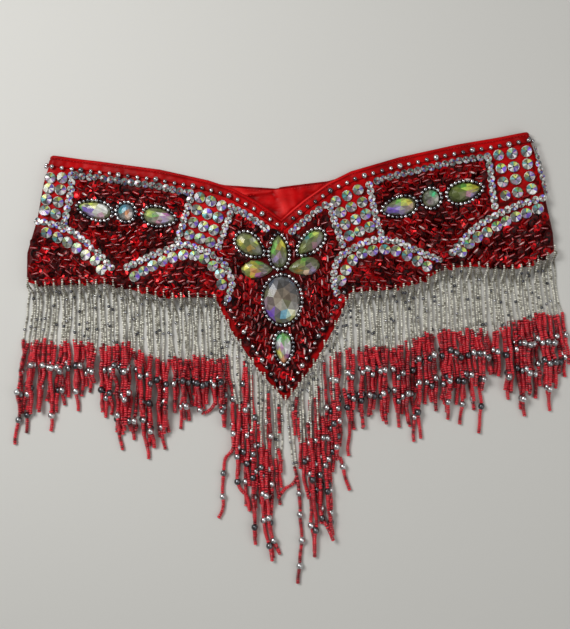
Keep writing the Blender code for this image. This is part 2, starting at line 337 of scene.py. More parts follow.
def turned(profile, sides, given=None):
    # a profile of (place along X, radius) turned round X, with a flat face at each end
    angles = np.arange(sides) * 2 * math.pi / sides if given is None else np.radians(given)
    rings = [
        np.stack([np.full(sides, place), radius * np.cos(angles), radius * np.sin(angles)], axis=1)
        for place, radius in profile
    ]
    index = np.arange(len(profile) * sides).reshape(len(profile), sides)
    after = np.roll(index, -1, axis=1)
    bands = np.stack([index[:-1], after[:-1], after[1:], index[1:]], axis=-1).reshape(-1, 4)
    caps = np.stack([index[0][::-1], index[-1]])
    return np.concatenate(rings), [bands, caps]


def copies(shape, centres, frames, scales):
    # each copy's points: its centre, plus its frame times the shape's points times its scales
    points, faces = shape
    scaled = points[None] * np.reshape(scales, (len(centres), -1))[:, None, :]
    placed = centres[:, None, :] + np.einsum("kij,knj->kni", frames, scaled)
    offsets = np.arange(len(centres)) * len(points)
    moved = [(group[None] + offsets[:, None, None]).reshape(-1, group.shape[1]) for group in faces]
    return placed.reshape(-1, 3), moved


def unit(vectors):
    # each vector over its own length
    return vectors / np.maximum(np.linalg.norm(vectors, axis=-1, keepdims=True), 1e-9)


def framesOf(along, up):
    # local X along, local Z as near up as it can be: three columns for each copy
    first = unit(along)
    side = unit(np.cross(up, first))
    return np.stack([first, side, np.cross(first, side)], axis=-1)


def scatter(
    name, shape, centres, frames, scales, finish, tone=None, facet=None, rounded=True, ring=0.0,
):
    # one mesh of many copies: tone is a number for each copy, and ring is added at each point of it
    points, faces = copies(shape, centres, frames, scales)
    tones = None if tone is None else (tone[:, None] + np.zeros(len(shape[0])) + ring).ravel()
    colours = None
    if facet is not None:  # facet is one colour for each face of each copy, in the shape's own order
        splits = np.cumsum([len(group) for group in shape[1]])[:-1]
        colours = np.concatenate([part.reshape(-1, 3) for part in np.split(facet, splits, axis=1)])
    return makePiece(name, points, faces, finishes[finish], rounded, tones, colours)


def sheetFaces(columns, ring):
    # a grid closed round its second direction, with a face over each end
    index = np.arange(columns * ring).reshape(columns, ring)
    after = np.roll(index, -1, axis=1)
    sides = np.stack([index[:-1], index[1:], after[1:], after[:-1]], axis=-1).reshape(-1, 4)
    return [sides, np.stack([index[0], index[-1][::-1]])]


def facingOut(points, faces):
    # turns every face round if the closed shape they make has a negative volume
    volume = 0.0
    for group in faces:
        for i in range(1, group.shape[1] - 1):
            corners = points[group[:, [0, i, i + 1]]]
            volume += np.linalg.det(corners).sum()
    return faces if volume > 0 else [group[:, ::-1] for group in faces]


# the loop of cloth as it lies, in millimetres: its two folds, and the edges of the front and the back
loop = {
    "face": 4.3,  # height of the front's outer face on the flat
    "foldRadius": 4.0,
    "rise": 26.0,  # width over which the front rises to the fold
    "seamAngle": math.radians(115),
    "fanStart": 120.0,
    "folds": [
        (-46, -214.5, 227), (-18, -213, 226), (10, -203.5, 221), (40, -197, 216.5), (66, -188, 208),
    ],
    "frontWaist": [
        (-188, 61.5), (-150, 55.7), (-100, 47), (-60, 36.5), (-40, 29), (-20, 17.5), (-10, 10),
        (0, 2), (10, 10), (20, 17.5), (40, 30.5), (60, 39.5), (100, 49.5), (150, 58.5), (208, 66),
    ],
    "frontHem": [
        (-214, -42), (-200, -46), (-150, -45.5), (-130, -51), (-105, -58), (-80, -60), (-58, -61),
        (-45, -90), (-25, -122), (-2, -150), (24, -118), (42, -88), (55.5, -61), (90, -60),
        (112, -56), (135, -44), (160, -43.5), (185, -47), (205, -45), (227, -33),
    ],
    "backWaist": [(-188, 61.5), (-120, 49), (-50, 33), (-8, 28.5), (44, 33), (120, 51), (208, 66)],
    "backHem": [(-214, -42), (-150, -43), (0, -56), (135, -42), (227, -33)],
}


def smooth(share):
    # eases from 0 to 1: three squares less two cubes
    share = np.clip(share, 0, 1)
    return share * share * (3 - 2 * share)


def reading(rows, place, column=1):
    # a table's column at a place, straight between its rows
    rows = np.array(rows, float)
    return np.interp(place, rows[:, 0], rows[:, column])


def axisReach(side, y):
    # how far out the fold's axis runs on one side, at height y
    folds = loop["folds"]
    return np.where(side < 0, -reading(folds, y, 1), reading(folds, y, 2)) - loop["foldRadius"]


def onLoop(q, angle, y, out):
    # a point of the loop from its column's place at the hem, its angle round the fold and its height
    q, angle, y, out = np.broadcast_arrays(*(np.asarray(part, float) for part in (q, angle, y, out)))
    radius = loop["foldRadius"]
    side = np.where(q < 0, -1.0, 1.0)
    axis = axisReach(side, y)
    hem = axisReach(side, np.full_like(y, loop["folds"][0][0]))
    spread = smooth((np.abs(q) - loop["fanStart"]) / (hem - loop["fanStart"]))
    reach = np.abs(q) + (axis - hem) * spread
    height = loop["face"] + (2 * radius - loop["face"]) * smooth(1 - (axis - reach) / loop["rise"])
    flat = np.stack([side * reach, y, height + out], axis=-1)
    bent = [side * (reach + (radius + out) * np.sin(angle)), y, radius + (radius + out) * np.cos(angle)]
    return np.where(((angle == 0) & (reach < axis))[..., None], flat, np.stack(bent, axis=-1))


def edgeHeight(rows, q, angle):
    # where a leaning column meets an edge drawn over the belt's real width, in three steps
    y = reading(rows, q)
    for _ in range(3):
        y = reading(rows, onLoop(q, np.minimum(angle, math.pi / 2), y, 0)[..., 0])
    return y


def seat(x, y, out):
    # the point of the front seen at x and y, lifted off the cloth by out, and the way the cloth faces
    x, y, out = np.broadcast_arrays(*(np.asarray(part, float) for part in (x, y, out)))
    radius = loop["foldRadius"]
    side = np.where(x < 0, -1.0, 1.0)
    axis = axisReach(side, y)
    lean = (axisReach(side, y + 2) - axisReach(side, y - 2)) / 4
    beyond = np.abs(x) - axis
    share = np.clip(1 + beyond / loop["rise"], 0, 1)
    height = loop["face"] + (2 * radius - loop["face"]) * smooth(share) + swell(x, y)
    slope = (2 * radius - loop["face"]) * 6 * share * (1 - share) / loop["rise"]
    flatWay = unit(np.stack([-side * slope, lean * slope, np.ones_like(x)], axis=-1))
    flat = np.stack([x, y, height], axis=-1) + flatWay * out[..., None]
    angle = np.arcsin(np.clip(beyond / (radius + out), 0, 0.999))
    bentWay = unit(np.stack([side * np.sin(angle), -lean * np.sin(angle), np.cos(angle)], axis=-1))
    reach = axis + (radius + out) * np.sin(angle)
    bent = np.stack([side * reach, y, radius + (radius + out) * np.cos(angle)], axis=-1)
    folded = (beyond > 0)[..., None]
    return np.where(folded, bent, flat), np.where(folded, bentWay, flatWay)


def bell(far, width):
    # 1 at the middle, falling as the power of minus the square of far over width
    return np.exp(-((far / width) ** 2))


def nearLine(x, y, line):
    # distance from each place to a straight line between two ends, and how far along it lies
    x0, y0, x1, y1 = line
    run = np.array([x1 - x0, y1 - y0])
    share = np.clip(((x - x0) * run[0] + (y - y0) * run[1]) / (run @ run), 0, 1)
    return np.hypot(x - x0 - share * run[0], y - y0 - share * run[1]), share


frontCreases = [  # ends, width and depth of the soft unevenness of the decorated front
    ((-176, 50, -190, -30), 10, 0.45), ((-140, 48, -120, -48), 12, -0.3),
    ((-96, 40, -70, -55), 9, 0.4), ((-30, 8, -46, -60), 10, -0.25), ((-14, -90, 10, -96), 9, 0.35),
    ((30, 15, 46, -55), 10, 0.35), ((100, 44, 84, -54), 12, -0.3), ((140, 54, 170, -36), 9, 0.4),
    ((196, 60, 204, -38), 8, -0.3), ((-60, -50, -10, -130), 9, 0.3), ((10, -130, 52, -60), 8, -0.25),
]


def swell(x, y):
    # soft troughs and ridges of the front, each a bell across its own line, none on the folds
    total = np.zeros(np.broadcast(x, y).shape)
    for line, width, depth in frontCreases:
        far, share = nearLine(x, y, line)
        total += depth * bell(far, width) * (0.6 + 0.4 * np.sin(3.1 * share))
    side = np.where(x < 0, -1.0, 1.0)
    return total * smooth((axisReach(side, y) - np.abs(x)) / 12)


def lengthsAlong(line):
    # how far along a line each of its points lies
    return np.concatenate([[0], np.cumsum(np.linalg.norm(np.diff(line, axis=0), axis=1))])


def evenly(line, pitch):
    # points along a line at equal spacing near the pitch, its ends among them
    gone = lengthsAlong(line)
    stops = np.linspace(0, gone[-1], max(1, round(gone[-1] / pitch)) + 1)
    return np.stack([np.interp(stops, gone, line[:, 0]), np.interp(stops, gone, line[:, 1])], axis=1)


def curveThrough(places, pitch):
    # a smooth curve through the places, a cubic between each two that leans by their neighbours
    knots = np.array(places, float)
    held = np.concatenate([2 * knots[:1] - knots[1:2], knots, 2 * knots[-1:] - knots[-2:-1]])
    t = np.linspace(0, 1, 24, endpoint=False)[:, None]
    spans = []
    for i in range(len(knots) - 1):
        a, b, c, d = held[i:i + 4]
        square = 2 * a - 5 * b + 4 * c - d
        cube = 3 * b - a - 3 * c + d
        spans.append(0.5 * (2 * b + (c - a) * t + square * t ** 2 + cube * t ** 3))
    return evenly(np.concatenate(spans + [knots[-1:]]), pitch)


def shifted(line, away):
    # a line moved sideways by away, to the right of its direction
    run = unit(np.gradient(line, axis=0))
    return line + away * np.stack([run[:, 1], -run[:, 0]], axis=1)


cloth = {
    "columnStep": 2.5, "closeStep": 1.25, "closeTo": 46.0,  # columns are closer near the dip and the V
    "rows": 44, "innerRows": 14, "backRows": 24, "backInnerRows": 56, "foldSteps": 14,
    "frontThickness": 1.5, "backThickness": 1.8,
    "frontSink": 0.15, "backSink": 0.1, "bindingSink": 0.12,  # how far each lies inside its solid's face
    "seamDip": 0.9, "seamEase": 0.35,  # how deep the cloth tucks in at a side seam, over what angle
}


def columnsBetween(sign, seam, flatAngle):
    # places at the hem and angles round the fold, from one side seam to the middle
    hem = float(axisReach(sign, loop["folds"][0][0]))
    turnTo = np.linspace(seam, flatAngle, cloth["foldSteps"], endpoint=False)
    tables = [row[0] for row in loop["frontWaist"] + loop["frontHem"] if 0 < row[0] * sign < hem]
    close = np.arange(0, cloth["closeTo"], cloth["closeStep"])
    grid = np.concatenate([close, np.arange(cloth["closeTo"], hem, cloth["columnStep"])])
    flat = sorted(set(np.round(np.abs(np.array(tables)), 2)) | set(np.round(grid, 2)) | {hem}, reverse=True)
    q = np.concatenate([np.full(len(turnTo), hem), flat]) * sign
    return q, np.concatenate([turnTo, np.full(len(flat), flatAngle)])


def allColumns(seam, flatAngle):
    # the columns of both sides in one row, from the left seam to the right
    leftQ, leftAngle = columnsBetween(-1, seam, flatAngle)
    rightQ, rightAngle = columnsBetween(1, seam, flatAngle)
    return np.concatenate([leftQ, rightQ[::-1][1:]]), np.concatenate([leftAngle, rightAngle[::-1][1:]])


def ringOf(top, bottom, thickness, rows, innerRows):
    # heights and depths round a sheet's section: outer face down, round the hem, inner face up
    half = thickness / 2
    bend = np.linspace(0, math.pi, 7)[1:-1]
    downs = np.linspace(0, 1, rows)
    ups = np.linspace(1, 0, innerRows) ** 1.6  # closer rows near the waist, where the inside shows
    room = top - bottom - thickness
    y = np.concatenate([
        (top - half)[:, None] - room[:, None] * downs[None],
        (bottom + half)[:, None] - half * np.sin(bend)[None],
        (top - half)[:, None] - room[:, None] * ups[None],
        (top - half)[:, None] + half * np.sin(bend)[None],
    ], axis=1)
    out = np.concatenate([
        np.zeros(rows), -half + half * np.cos(bend),
        np.full(innerRows, -thickness), -half - half * np.cos(bend),
    ])
    return y, np.broadcast_to(out, y.shape).copy()


def flatArea(points, faces):
    # half the surface of a closed shell, from its four-sided faces' diagonals, in square metres
    a, b, c, d = (points[faces[0][:, i]] for i in range(4))
    return np.linalg.norm(np.cross(c - a, d - b), axis=1).sum() / 2 / 2 * 1e-6


def seamTuck(beyond):
    # how far the cloth turns in at an angle beyond its side seam: all of it at the seam, then easing out
    return cloth["seamDip"] * (1 - smooth(beyond / cloth["seamEase"]))[:, None]


def makeFront():
    # a sheet's section in every column, bent round the folds, with creases where it is flat
    q, angle = allColumns(loop["seamAngle"], 0.0)
    top = edgeHeight(loop["frontWaist"], q, angle)
    bottom = edgeHeight(loop["frontHem"], q, angle)
    y, out = ringOf(top, bottom, cloth["frontThickness"], cloth["rows"], cloth["innerRows"])
    places = onLoop(q[:, None], angle[:, None], y, 0)
    out += np.where(angle[:, None] == 0, swell(places[..., 0], places[..., 1]), 0) - cloth["frontSink"]
    out -= seamTuck(loop["seamAngle"] - angle)
    points = onLoop(q[:, None], angle[:, None], y, out).reshape(-1, 3)
    faces = facingOut(points, sheetFaces(*y.shape))
    return makePiece("frontSatin", points, faces, finishes["satin"]), flatArea(points, faces)


backCreases = [  # the inside of the back that shows in the dip: ends, width, depth
    ((-31, 24.2, -8, 26.2), 1.4, 1.1), ((-31, 22.0, -9, 23.8), 1.2, -0.9),
    ((-7, 25, -4, 20), 1.3, -1.0), ((-1, 26, 4, 8), 3.4, 1.3), ((-25, 22.6, -6, 8.8), 2.3, -1.45),
    ((9, 24, 12, 12), 3.0, 0.5), ((14, 29, 15, 16), 2.4, -0.5), ((24, 31, 22, 22), 3.0, -0.6),
    ((34, 33, 30, 26), 3.0, 0.5), ((-44, 36, -32, 27), 3.5, 0.5), ((3, 5.5, 38, 31.5), 1.0, -0.7),
]
underCreases = [  # the back's underside, which rests on the table
    ((-150, 40, -120, -30), 16, 0.5), ((-70, 30, -40, -45), 14, 0.6), ((20, 22, 10, -46), 15, 0.5),
    ((90, 34, 70, -40), 16, 0.6), ((160, 46, 175, -28), 14, 0.5),
]


def makeBack():
    # as the front, but under it: creases on the inside where the dip shows it, and on the underside
    seam = loop["seamAngle"] + math.radians(3)
    q, angle = allColumns(seam, math.pi)
    top = edgeHeight(loop["backWaist"], q, angle)
    bottom = edgeHeight(loop["backHem"], q, angle)
    y, out = ringOf(top, bottom, cloth["backThickness"], cloth["backRows"], cloth["backInnerRows"])
    places = onLoop(q[:, None], angle[:, None], y, 0)
    x = places[..., 0]
    inside = out < -cloth["backThickness"] * 0.6
    lift = np.zeros_like(y)
    for line, width, depth in backCreases:
        far, share = nearLine(x, y, line)
        lift += depth * bell(far, width) * (0.7 + 0.3 * np.sin(5 * share + width))
    lift = np.maximum(lift, -1.2)
    # painted shade in the creases' hollows and a painted highlight on their ridges
    relief = np.clip(lift / 1.3, -1, 0.8)
    # a painted shadow in a thin band under the back's waist edge, where the binding shades it
    relief = np.where(reading(loop["backWaist"], x) - y < 1.5, -0.7, relief)
    hem = smooth((reading(loop["backWaist"], x) - y - 6.8) / 0.9) - 1  # the turned edge lies proud
    lift -= 0.3 * hem
    lift += 0.2 * np.sin(x * 0.31) * np.sin(y * 0.23 + 1)
    shown = smooth((y - 1) / 6) * smooth((52 - np.abs(x - 2)) / 12)
    out -= np.where(inside, lift * shown, 0)
    for line, width, depth in underCreases:
        far, share = nearLine(x, y, line)
        out -= np.where(angle[:, None] == math.pi, depth * bell(far, width) * (~inside), 0)
    out -= np.where(inside, 0, cloth["backSink"])
    out -= seamTuck(angle - seam)
    points = onLoop(q[:, None], angle[:, None], y, out).reshape(-1, 3)
    faces = facingOut(points, sheetFaces(*y.shape))
    # the painted shade and highlight kept to the inside, where the dip shows it
    relief = np.where(inside, relief * shown, 0)
    made = makePiece("backSatin", points, faces, finishes["lining"], relief=relief)
    return made, flatArea(points, faces)


bindingSection = [  # distance in from the waist edge and height off the cloth, round the folded strip
    (-0.75, -0.8), (-0.62, -0.2), (-0.25, 0.35), (0.35, 0.78), (1.1, 0.92), (1.7, 0.72),
    (2.05, 0.16), (2.4, 0.66), (3.2, 0.86), (4.4, 0.92), (5.8, 0.9), (7.0, 0.8), (7.9, 0.6),
    (8.35, 0.25), (8.4, 0.02), (6.0, 0.04), (2.0, 0.06), (0.2, -0.1), (0.0, -0.8), (0.2, -1.62),
    (2.4, -1.72), (2.5, -1.98), (0.3, -2.0), (-0.45, -1.5),
]
bindingShadeAndHighlight = [  # distance in from the waist edge, and how much painted shade (below 0) and painted highlight (above 0) it gets
    (-0.7, -0.3), (0, 0), (0.6, 0.12), (1.4, 0), (2.05, -0.75), (2.7, -0.1), (7, 0), (8.3, -0.7),
]


def makeBinding():
    # the folded strip's section, square to the waist edge in every column and puckered along its face
    q, angle = allColumns(loop["seamAngle"], 0.0)
    top = edgeHeight(loop["frontWaist"], q, angle)
    x = onLoop(q, angle, top, 0)[:, 0]
    inward = np.where(x > 0, -2.0, 2.0)
    slope = (reading(loop["frontWaist"], x + inward) - reading(loop["frontWaist"], x)) / inward
    section = np.array(bindingSection)
    drop = section[None, :, 0] * np.hypot(1, slope)[:, None]
    y = top[:, None] - drop
    out = np.broadcast_to(section[:, 1], y.shape).copy()
    face = (section[:, 1] > 0.3) & (section[:, 0] > -0.5)
    pucker = 0.24 * np.sin(x * 0.83 + 1.2 * np.sin(x * 0.11)) + 0.2 * np.sin(x * 0.37 + 2)
    pucker = pucker[:, None] * bell(section[:, 0] - 4.6, 3.0)
    out += np.where(face[None], pucker, 0)
    places = onLoop(q[:, None], angle[:, None], y, 0)
    out += np.where(angle[:, None] == 0, swell(places[..., 0], places[..., 1]), 0) - cloth["bindingSink"]
    out -= seamTuck(loop["seamAngle"] - angle)
    points = onLoop(q[:, None], angle[:, None], y, out).reshape(-1, 3)
    faces = facingOut(points, sheetFaces(*y.shape))
    length = np.linalg.norm(np.diff(onLoop(q, angle, top, 0), axis=0), axis=1).sum()
    right = smooth(x / 6) * smooth((60 - x) / 30)  # a painted highlight along the dip's right edge, where it turns up and catches the light
    relief = reading(bindingShadeAndHighlight, section[:, 0])[None] + right[:, None] * bell(section[:, 0] - 0.2, 0.4) * 1.1
    # the painted shade and highlight follow the puckers too
    relief = relief + 0.35 * pucker
    made = makePiece("waistBinding", points, faces, finishes["binding"], relief=relief)
    return made, flatArea(points, faces), length


stitchShape = turned([(-0.5, 0.35), (-0.36, 0.9), (0.36, 0.9), (0.5, 0.35)], 5)
stitch = {
    "length": 1.5, "gap": 1.0, "thick": 0.26, "in": 2.05, "frontLift": 0.24,
    "backEdge": [(-44, 32.2), (-28, 30.6), (-8, 28.5), (16, 30.4), (44, 33)],
    "backIn": 2.2, "backHeight": 2.22,
    "tuck": [(-30, 23.1), (-20, 23.9), (-10, 24.6)], "tuckHeight": 1.75,
}


def makeStitches():
    # short threads end to end along each line, half sunk in the front or at a height on the back
    waist = np.array(loop["frontWaist"], float)
    lines = [
        (shifted(waist[:8], stitch["in"])[:-1], None), (shifted(waist[7:], stitch["in"])[1:], None),
        (shifted(np.array(stitch["backEdge"], float), stitch["backIn"]), stitch["backHeight"]),
        (stitch["tuck"], stitch["tuckHeight"]),
    ]
    centres, ways = [], []
    for line, height in lines:
        places = curveThrough(line, stitch["length"] + stitch["gap"])
        x, y = places.T
        if height:
            centres.append(np.column_stack([x, y, np.full(len(x), height)]))
        else:
            centres.append(seat(x, y, stitch["frontLift"])[0])
        ways.append(np.column_stack([unit(np.gradient(places, axis=0)), np.zeros(len(x))]))
    centres = np.concatenate(centres)
    ways = np.concatenate(ways)
    frames = framesOf(ways, np.tile([0.0, 0, 1], (len(ways), 1)))
    sizes = np.tile([stitch["length"], stitch["thick"], stitch["thick"]], (len(ways), 1))
    tone = chance.uniform(0.3, 0.9, len(ways))
    return scatter("topStitches", stitchShape, centres, frames, sizes, "thread", tone)


print("cloth")
frontSatin, frontArea = makeFront()
backSatin, backArea = makeBack()
waistBinding, bindingArea, bindingLength = makeBinding()
topStitches = makeStitches()
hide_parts("front_panel")
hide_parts("back_panel")
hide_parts("waist_binding_left", "waist_binding_right")


# cut stones: how far each painted reflection of colour reaches, the weight of the base colour beside them,
# and how much the facets flicker in painted sparkle
stoneLook = {"sides": 16, "pearPoint": 0.5, "base": 4.6, "near": 1.9, "rest": 0.3, "flicker": 0.36}
stones = {  # form: pear (1) or round (0), x, y, length, width, turn, height; lights, the painted reflections: x, y and colour
    "stone_oval": {
        "form": (0, -2, -65, 39, 30, 90, 6.5), "base": "umber", "near": 3.0,
        "lights": [
            (0, 17, "slate"), (-8, 14, "steelBlue"), (8, 14, "steelBlue"), (0, 12, "charcoal"),
            (-12, 6, "oliveGrey"), (12, 6, "slate"), (-13, -2, "mauve"), (13, -3, "grey"), (10, -9, "white"),
            (8, -13, "paleYellow"), (2, -12, "sky"), (-9, -12, "violet"), (-4, -17, "oliveGrey"),
            (-6, 4, "umber"), (0, 3, "warmGrey"), (5, 4, "umber"), (-5, -4, "warmGrey"),
            (4, -5, "oliveGrey"), (0, -8, "pale"),
        ],
    },
    "stone_drop": {
        "form": (1, -2.3, -105, 24.5, 13.5, -90, 5), "base": "grey",
        "lights": [
            (-4, 9, "jade"), (0, 9.5, "green"), (4, 8, "green"), (-3, 4, "white"), (3, 4, "white"),
            (-2, 1, "magenta"), (1, -1, "white"), (-4, -3, "yellow"), (-3, -6, "paleYellow"),
            (4, -2, "white"), (3, -6, "magenta"), (0, -10, "orange"), (0, 5, "green"), (1, -5, "charcoal"),
            (-5, 1, "slate"),
        ],
    },
    "petal_top": {
        "form": (1, -3, -24.5, 27, 14, 90, 5), "base": "oliveGrey",
        "lights": [
            (0, 9, "olive"), (-3, 5, "green"), (-5, 0, "green"), (3, 5, "yellow"), (0, 3, "goldBrown"),
            (4, -1, "olive"), (0, -4, "mauve"), (-3, -7, "lilac"), (3, -7, "grey"), (0, -10, "darkOlive"),
        ],
    },
    "petal_upper_left": {
        "form": (1, -27, -18.5, 25, 15, -38, 5), "base": "oliveGrey",
        "lights": [
            (-7, 3, "yellow"), (-5, -1, "olive"), (0, 6, "olive"), (5, 3, "lime"), (4, 5, "white"),
            (6, -4, "grey"), (0, -3, "goldBrown"), (-2, 2, "darkOlive"), (9, -6, "grey"),
        ],
    },
    "petal_upper_right": {
        "form": (1, 23.5, -18.5, 26, 13, 220, 5), "base": "oliveGrey",
        "lights": [
            (0, 7, "green"), (4, 6, "lime"), (-3, 5, "teal"), (-6, -3, "olive"), (3, -3, "rose"),
            (7, 4, "grey"), (0, 0, "darkOlive"), (7, 0, "mauve"), (-8, -6, "olive"),
        ],
    },
    "petal_lower_left": {
        "form": (1, -22, -38.8, 26, 15, -3, 5), "base": "oliveGrey",
        "lights": [
            (-9, 2, "yellow"), (-7, -3, "olive"), (-3, -2.5, "orange"), (2, 5, "green"), (-3, 4, "yellow"),
            (6, 1, "grey"), (1, -6, "magenta"), (-4, -6, "yellow"), (5, -3, "mauve"), (1, 0, "goldBrown"),
        ],
    },
    "petal_lower_right": {
        "form": (1, 17.5, -38, 26, 15, 187, 5), "base": "oliveGrey",
        "lights": [
            (-8, 0, "olive"), (-5, -3, "goldBrown"), (0, 5, "green"), (2, 2, "charcoal"), (6, 0, "mauve"),
            (2, -6, "peach"), (8, 3, "oliveGrey"), (7, -4, "lilac"), (-2, 3, "olive"),
        ],
    },
    "navette_outer_left": {
        "form": (1, -155, 15.8, 27, 13, 164, 5), "base": "oliveGrey",
        "lights": [
            (-9, 5, "paleYellow"), (-11, 3, "green"), (-8, 1.5, "violet"), (-3, 0, "violet"),
            (0, 2.5, "paleYellow"), (6, 2.5, "white"), (3, -2.5, "white"), (5, -4.5, "pink"),
            (0, 6, "darkOlive"), (-2, 4, "lime"), (9, -0.5, "white"), (-3, -3, "lilac"),
        ],
    },
    "round_left": {
        "form": (0, -129, 13, 13.5, 13.5, 0, 5), "base": "slate",
        "lights": [
            (-0.5, 2.5, "sky"), (-3, 1, "teal"), (4, -3, "white"), (1.5, -1, "orange"), (-3, -4, "grey"),
            (3, 4, "slate"), (2, -5, "peach"),
        ],
    },
    "navette_inner_left": {
        "form": (1, -101.5, 8, 26, 13.5, -12, 5), "base": "oliveGrey",
        "lights": [
            (-5, 1, "green"), (-8, 3, "lime"), (1.5, 1, "white"), (6, 0.5, "magenta"), (-1, -4, "rose"),
            (3, 4, "olive"), (-6, -3, "grey"), (4, -3, "lilac"), (-1, 4, "darkOlive"), (9, -2, "pale"),
        ],
    },
    "navette_inner_right": {
        "form": (1, 98.5, 8.5, 27, 14, 190, 5), "base": "oliveGrey",
        "lights": [
            (3, 4, "lime"), (7, 3, "yellow"), (-3, -2.5, "violet"), (-8, -2.5, "violet"), (2, -5, "lilac"),
            (-5, 3, "oliveGrey"), (-1, 4, "green"), (6, -2, "mauve"), (0, 0, "pale"), (9, 0, "peach"),
        ],
    },
    "round_right": {
        "form": (0, 125, 14.7, 14, 14, 0, 5), "base": "oliveGrey",
        "lights": [
            (1.5, 3, "jade"), (-2, 3, "grey"), (-1, -3, "mauve"), (5, -1, "pale"), (-4, 0, "charcoal"),
            (2, -4, "grey"),
        ],
    },
    "navette_outer_right": {
        "form": (1, 153.5, 19, 28, 15, 13, 5), "base": "darkOlive",
        "lights": [
            (3, 4.5, "lime"), (-2, 4, "green"), (-8, 1, "olive"), (2, -2, "rose"), (6, -3, "lilac"),
            (7, 2, "yellow"), (-4, -3, "oliveGrey"), (0, 1, "lime"), (-9, -2, "darkOlive"),
        ],
    },
}


def outlineOf(form, turns, grown=0.0):
    # a stone's edge: along cos, across sin drawn out to a point, moved out square to itself
    pear, x, y, length, width, turn, height = form
    point = stoneLook["pearPoint"] * pear
    full = np.linspace(0, 2 * math.pi, 721)
    widest = (np.sin(full) * np.abs(np.sin(full / 2)) ** point).max()
    sides = np.sin(turns) * np.abs(np.sin(turns / 2)) ** point / widest
    local = np.stack([length / 2 * np.cos(turns), width / 2 * sides], axis=-1)
    if grown:
        run = unit(np.roll(local, -1, axis=0) - np.roll(local, 1, axis=0))
        local = local + grown * np.stack([run[:, 1], -run[:, 0]], axis=-1)
    angle = math.radians(turn)
    spin = np.array([[math.cos(angle), math.sin(angle)], [-math.sin(angle), math.cos(angle)]])
    return local @ spin


def makeStone(name, stone):
    # rings at the back, girdle, crown and star, then a fan to an apex a little off the middle
    form = stone["form"]
    pear, x, y, length, width, turn, height = form
    n = stoneLook["sides"]
    even = np.arange(n) * 2 * math.pi / n
    odd = even + math.pi / n
    half = (np.arange(n // 2) + 0.5) * 4 * math.pi / n + math.pi / n
    rings = [
        (even, 0.92, 0.0), (even, 1.0, 0.25), (odd, 0.84, 0.66), (half, 0.5, 0.93),
    ]
    shift = np.array([0.03 * length, 0.02 * width]) if pear else np.array([0.4, 0.8])
    levels = []
    for turns, scale, level in rings:
        edge = outlineOf(form, turns) * scale + shift * (level > 0.5) * level * 0.5
        levels.append(np.column_stack([edge, np.full(len(turns), level * height)]))
    apex = np.array([[shift[0], shift[1], height]])
    points = np.concatenate(levels + [apex]) + [x, y, stoneLook["base"]]
    i = np.arange(n)
    after = (i + 1) % n
    back = np.stack([i, after, n + after, n + i], axis=-1)
    lower = np.stack([n + i, n + after, 2 * n + i], axis=-1)
    upper = np.stack([n + after, 2 * n + after, 2 * n + i], axis=-1)
    j = np.arange(n // 2)
    nextJ = (j + 1) % (n // 2)
    crown, star, tip = 2 * n, 3 * n, 3 * n + n // 2
    fans = [
        np.stack([crown + 2 * j, crown + (2 * j + 1) % n, star + j], axis=-1),
        np.stack([crown + (2 * j + 1) % n, crown + (2 * j + 2) % n, star + j], axis=-1),
        np.stack([crown + (2 * j + 2) % n, star + nextJ, star + j], axis=-1),
        np.stack([star + j, star + nextJ, np.full(n // 2, tip)], axis=-1),
    ]
    threes = np.concatenate([lower, upper] + fans)
    faces = [threes, back, i[::-1][None]]
    middles = points[threes].mean(axis=1)[:, :2] - [x, y]
    spots = np.array([light[:2] for light in stone["lights"]], float)
    tints = np.array([linear(light[2]) for light in stone["lights"]])
    near = stone.get("near", stoneLook["near"])
    # painted reflections: each facet takes the colours flashed near it, then a random painted sparkle
    pull = np.exp(-(np.linalg.norm(middles[:, None] - spots[None], axis=-1) / near) ** 2)
    rest = stoneLook["rest"]
    base = np.array(linear(stone["base"]))
    colour = (pull @ tints + rest * base) / (pull.sum(axis=1, keepdims=True) + rest)
    colour *= 1 + stoneLook["flicker"] * chance.uniform(-1, 1, (len(threes), 1))
    dull = np.tile(base * 0.6, (n + 1, 1))
    facet = np.concatenate([colour, dull])
    made = makePiece("cut_" + name, points, faces, finishes["stone"], False, facet=facet)
    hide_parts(name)
    return made


print("stones")
cutStones = [makeStone(name, stone) for name, stone in stones.items()]


# steel beads: round the stones, along the waist and inside the V
beadShape = turned([(-0.93, 0.36), (-0.6, 0.8), (0, 1.0), (0.6, 0.8), (0.93, 0.36)], 8)
frameBeads = {"size": 3.5, "pitch": 3.6, "away": 1.75, "height": 2.1, "apart": 2.7}
bareStones = ("petal_lower_left", "petal_lower_right")


def frameRow(form):
    # beads evenly round a stone's edge, moved out
    turns = np.linspace(0, 2 * math.pi, 181)[:-1]
    edge = outlineOf(form, turns, frameBeads["away"]) + [form[1], form[2]]
    return evenly(np.concatenate([edge, edge[:1]]), frameBeads["pitch"])[:-1]


def setBeads(places, lift):
    # beads sewn flat: holes lying along the cloth at any turn
    centres, ups = seat(places[:, 0], places[:, 1], lift)
    turn = chance.uniform(0, math.pi, len(places))
    ways = np.column_stack([np.cos(turn), np.sin(turn), np.zeros(len(places))])
    return centres, framesOf(ways - (ways * ups).sum(1, keepdims=True) * ups, ups)


def makeFrameBeads():
    # a row round each stone but the bare ones, thinned where two frames meet
    rows = [frameRow(stone["form"]) for name, stone in stones.items() if name not in bareStones]
    places = np.concatenate(rows)
    kept = [0]
    for i in range(1, len(places)):  # where two frames meet, the second's bead gives way
        if np.linalg.norm(places[kept] - places[i], axis=1).min() > frameBeads["apart"]:
            kept.append(i)
    places = places[kept]
    sizes = frameBeads["size"] / 2 * chance.uniform(0.94, 1.06, len(places))
    centres, frames = setBeads(places, frameBeads["height"] + chance.uniform(-0.1, 0.2, len(places)))
    tone = chance.uniform(0.1, 1.0, len(places))
    return scatter("stoneFrames", beadShape, centres, frames, sizes, "steel", tone)


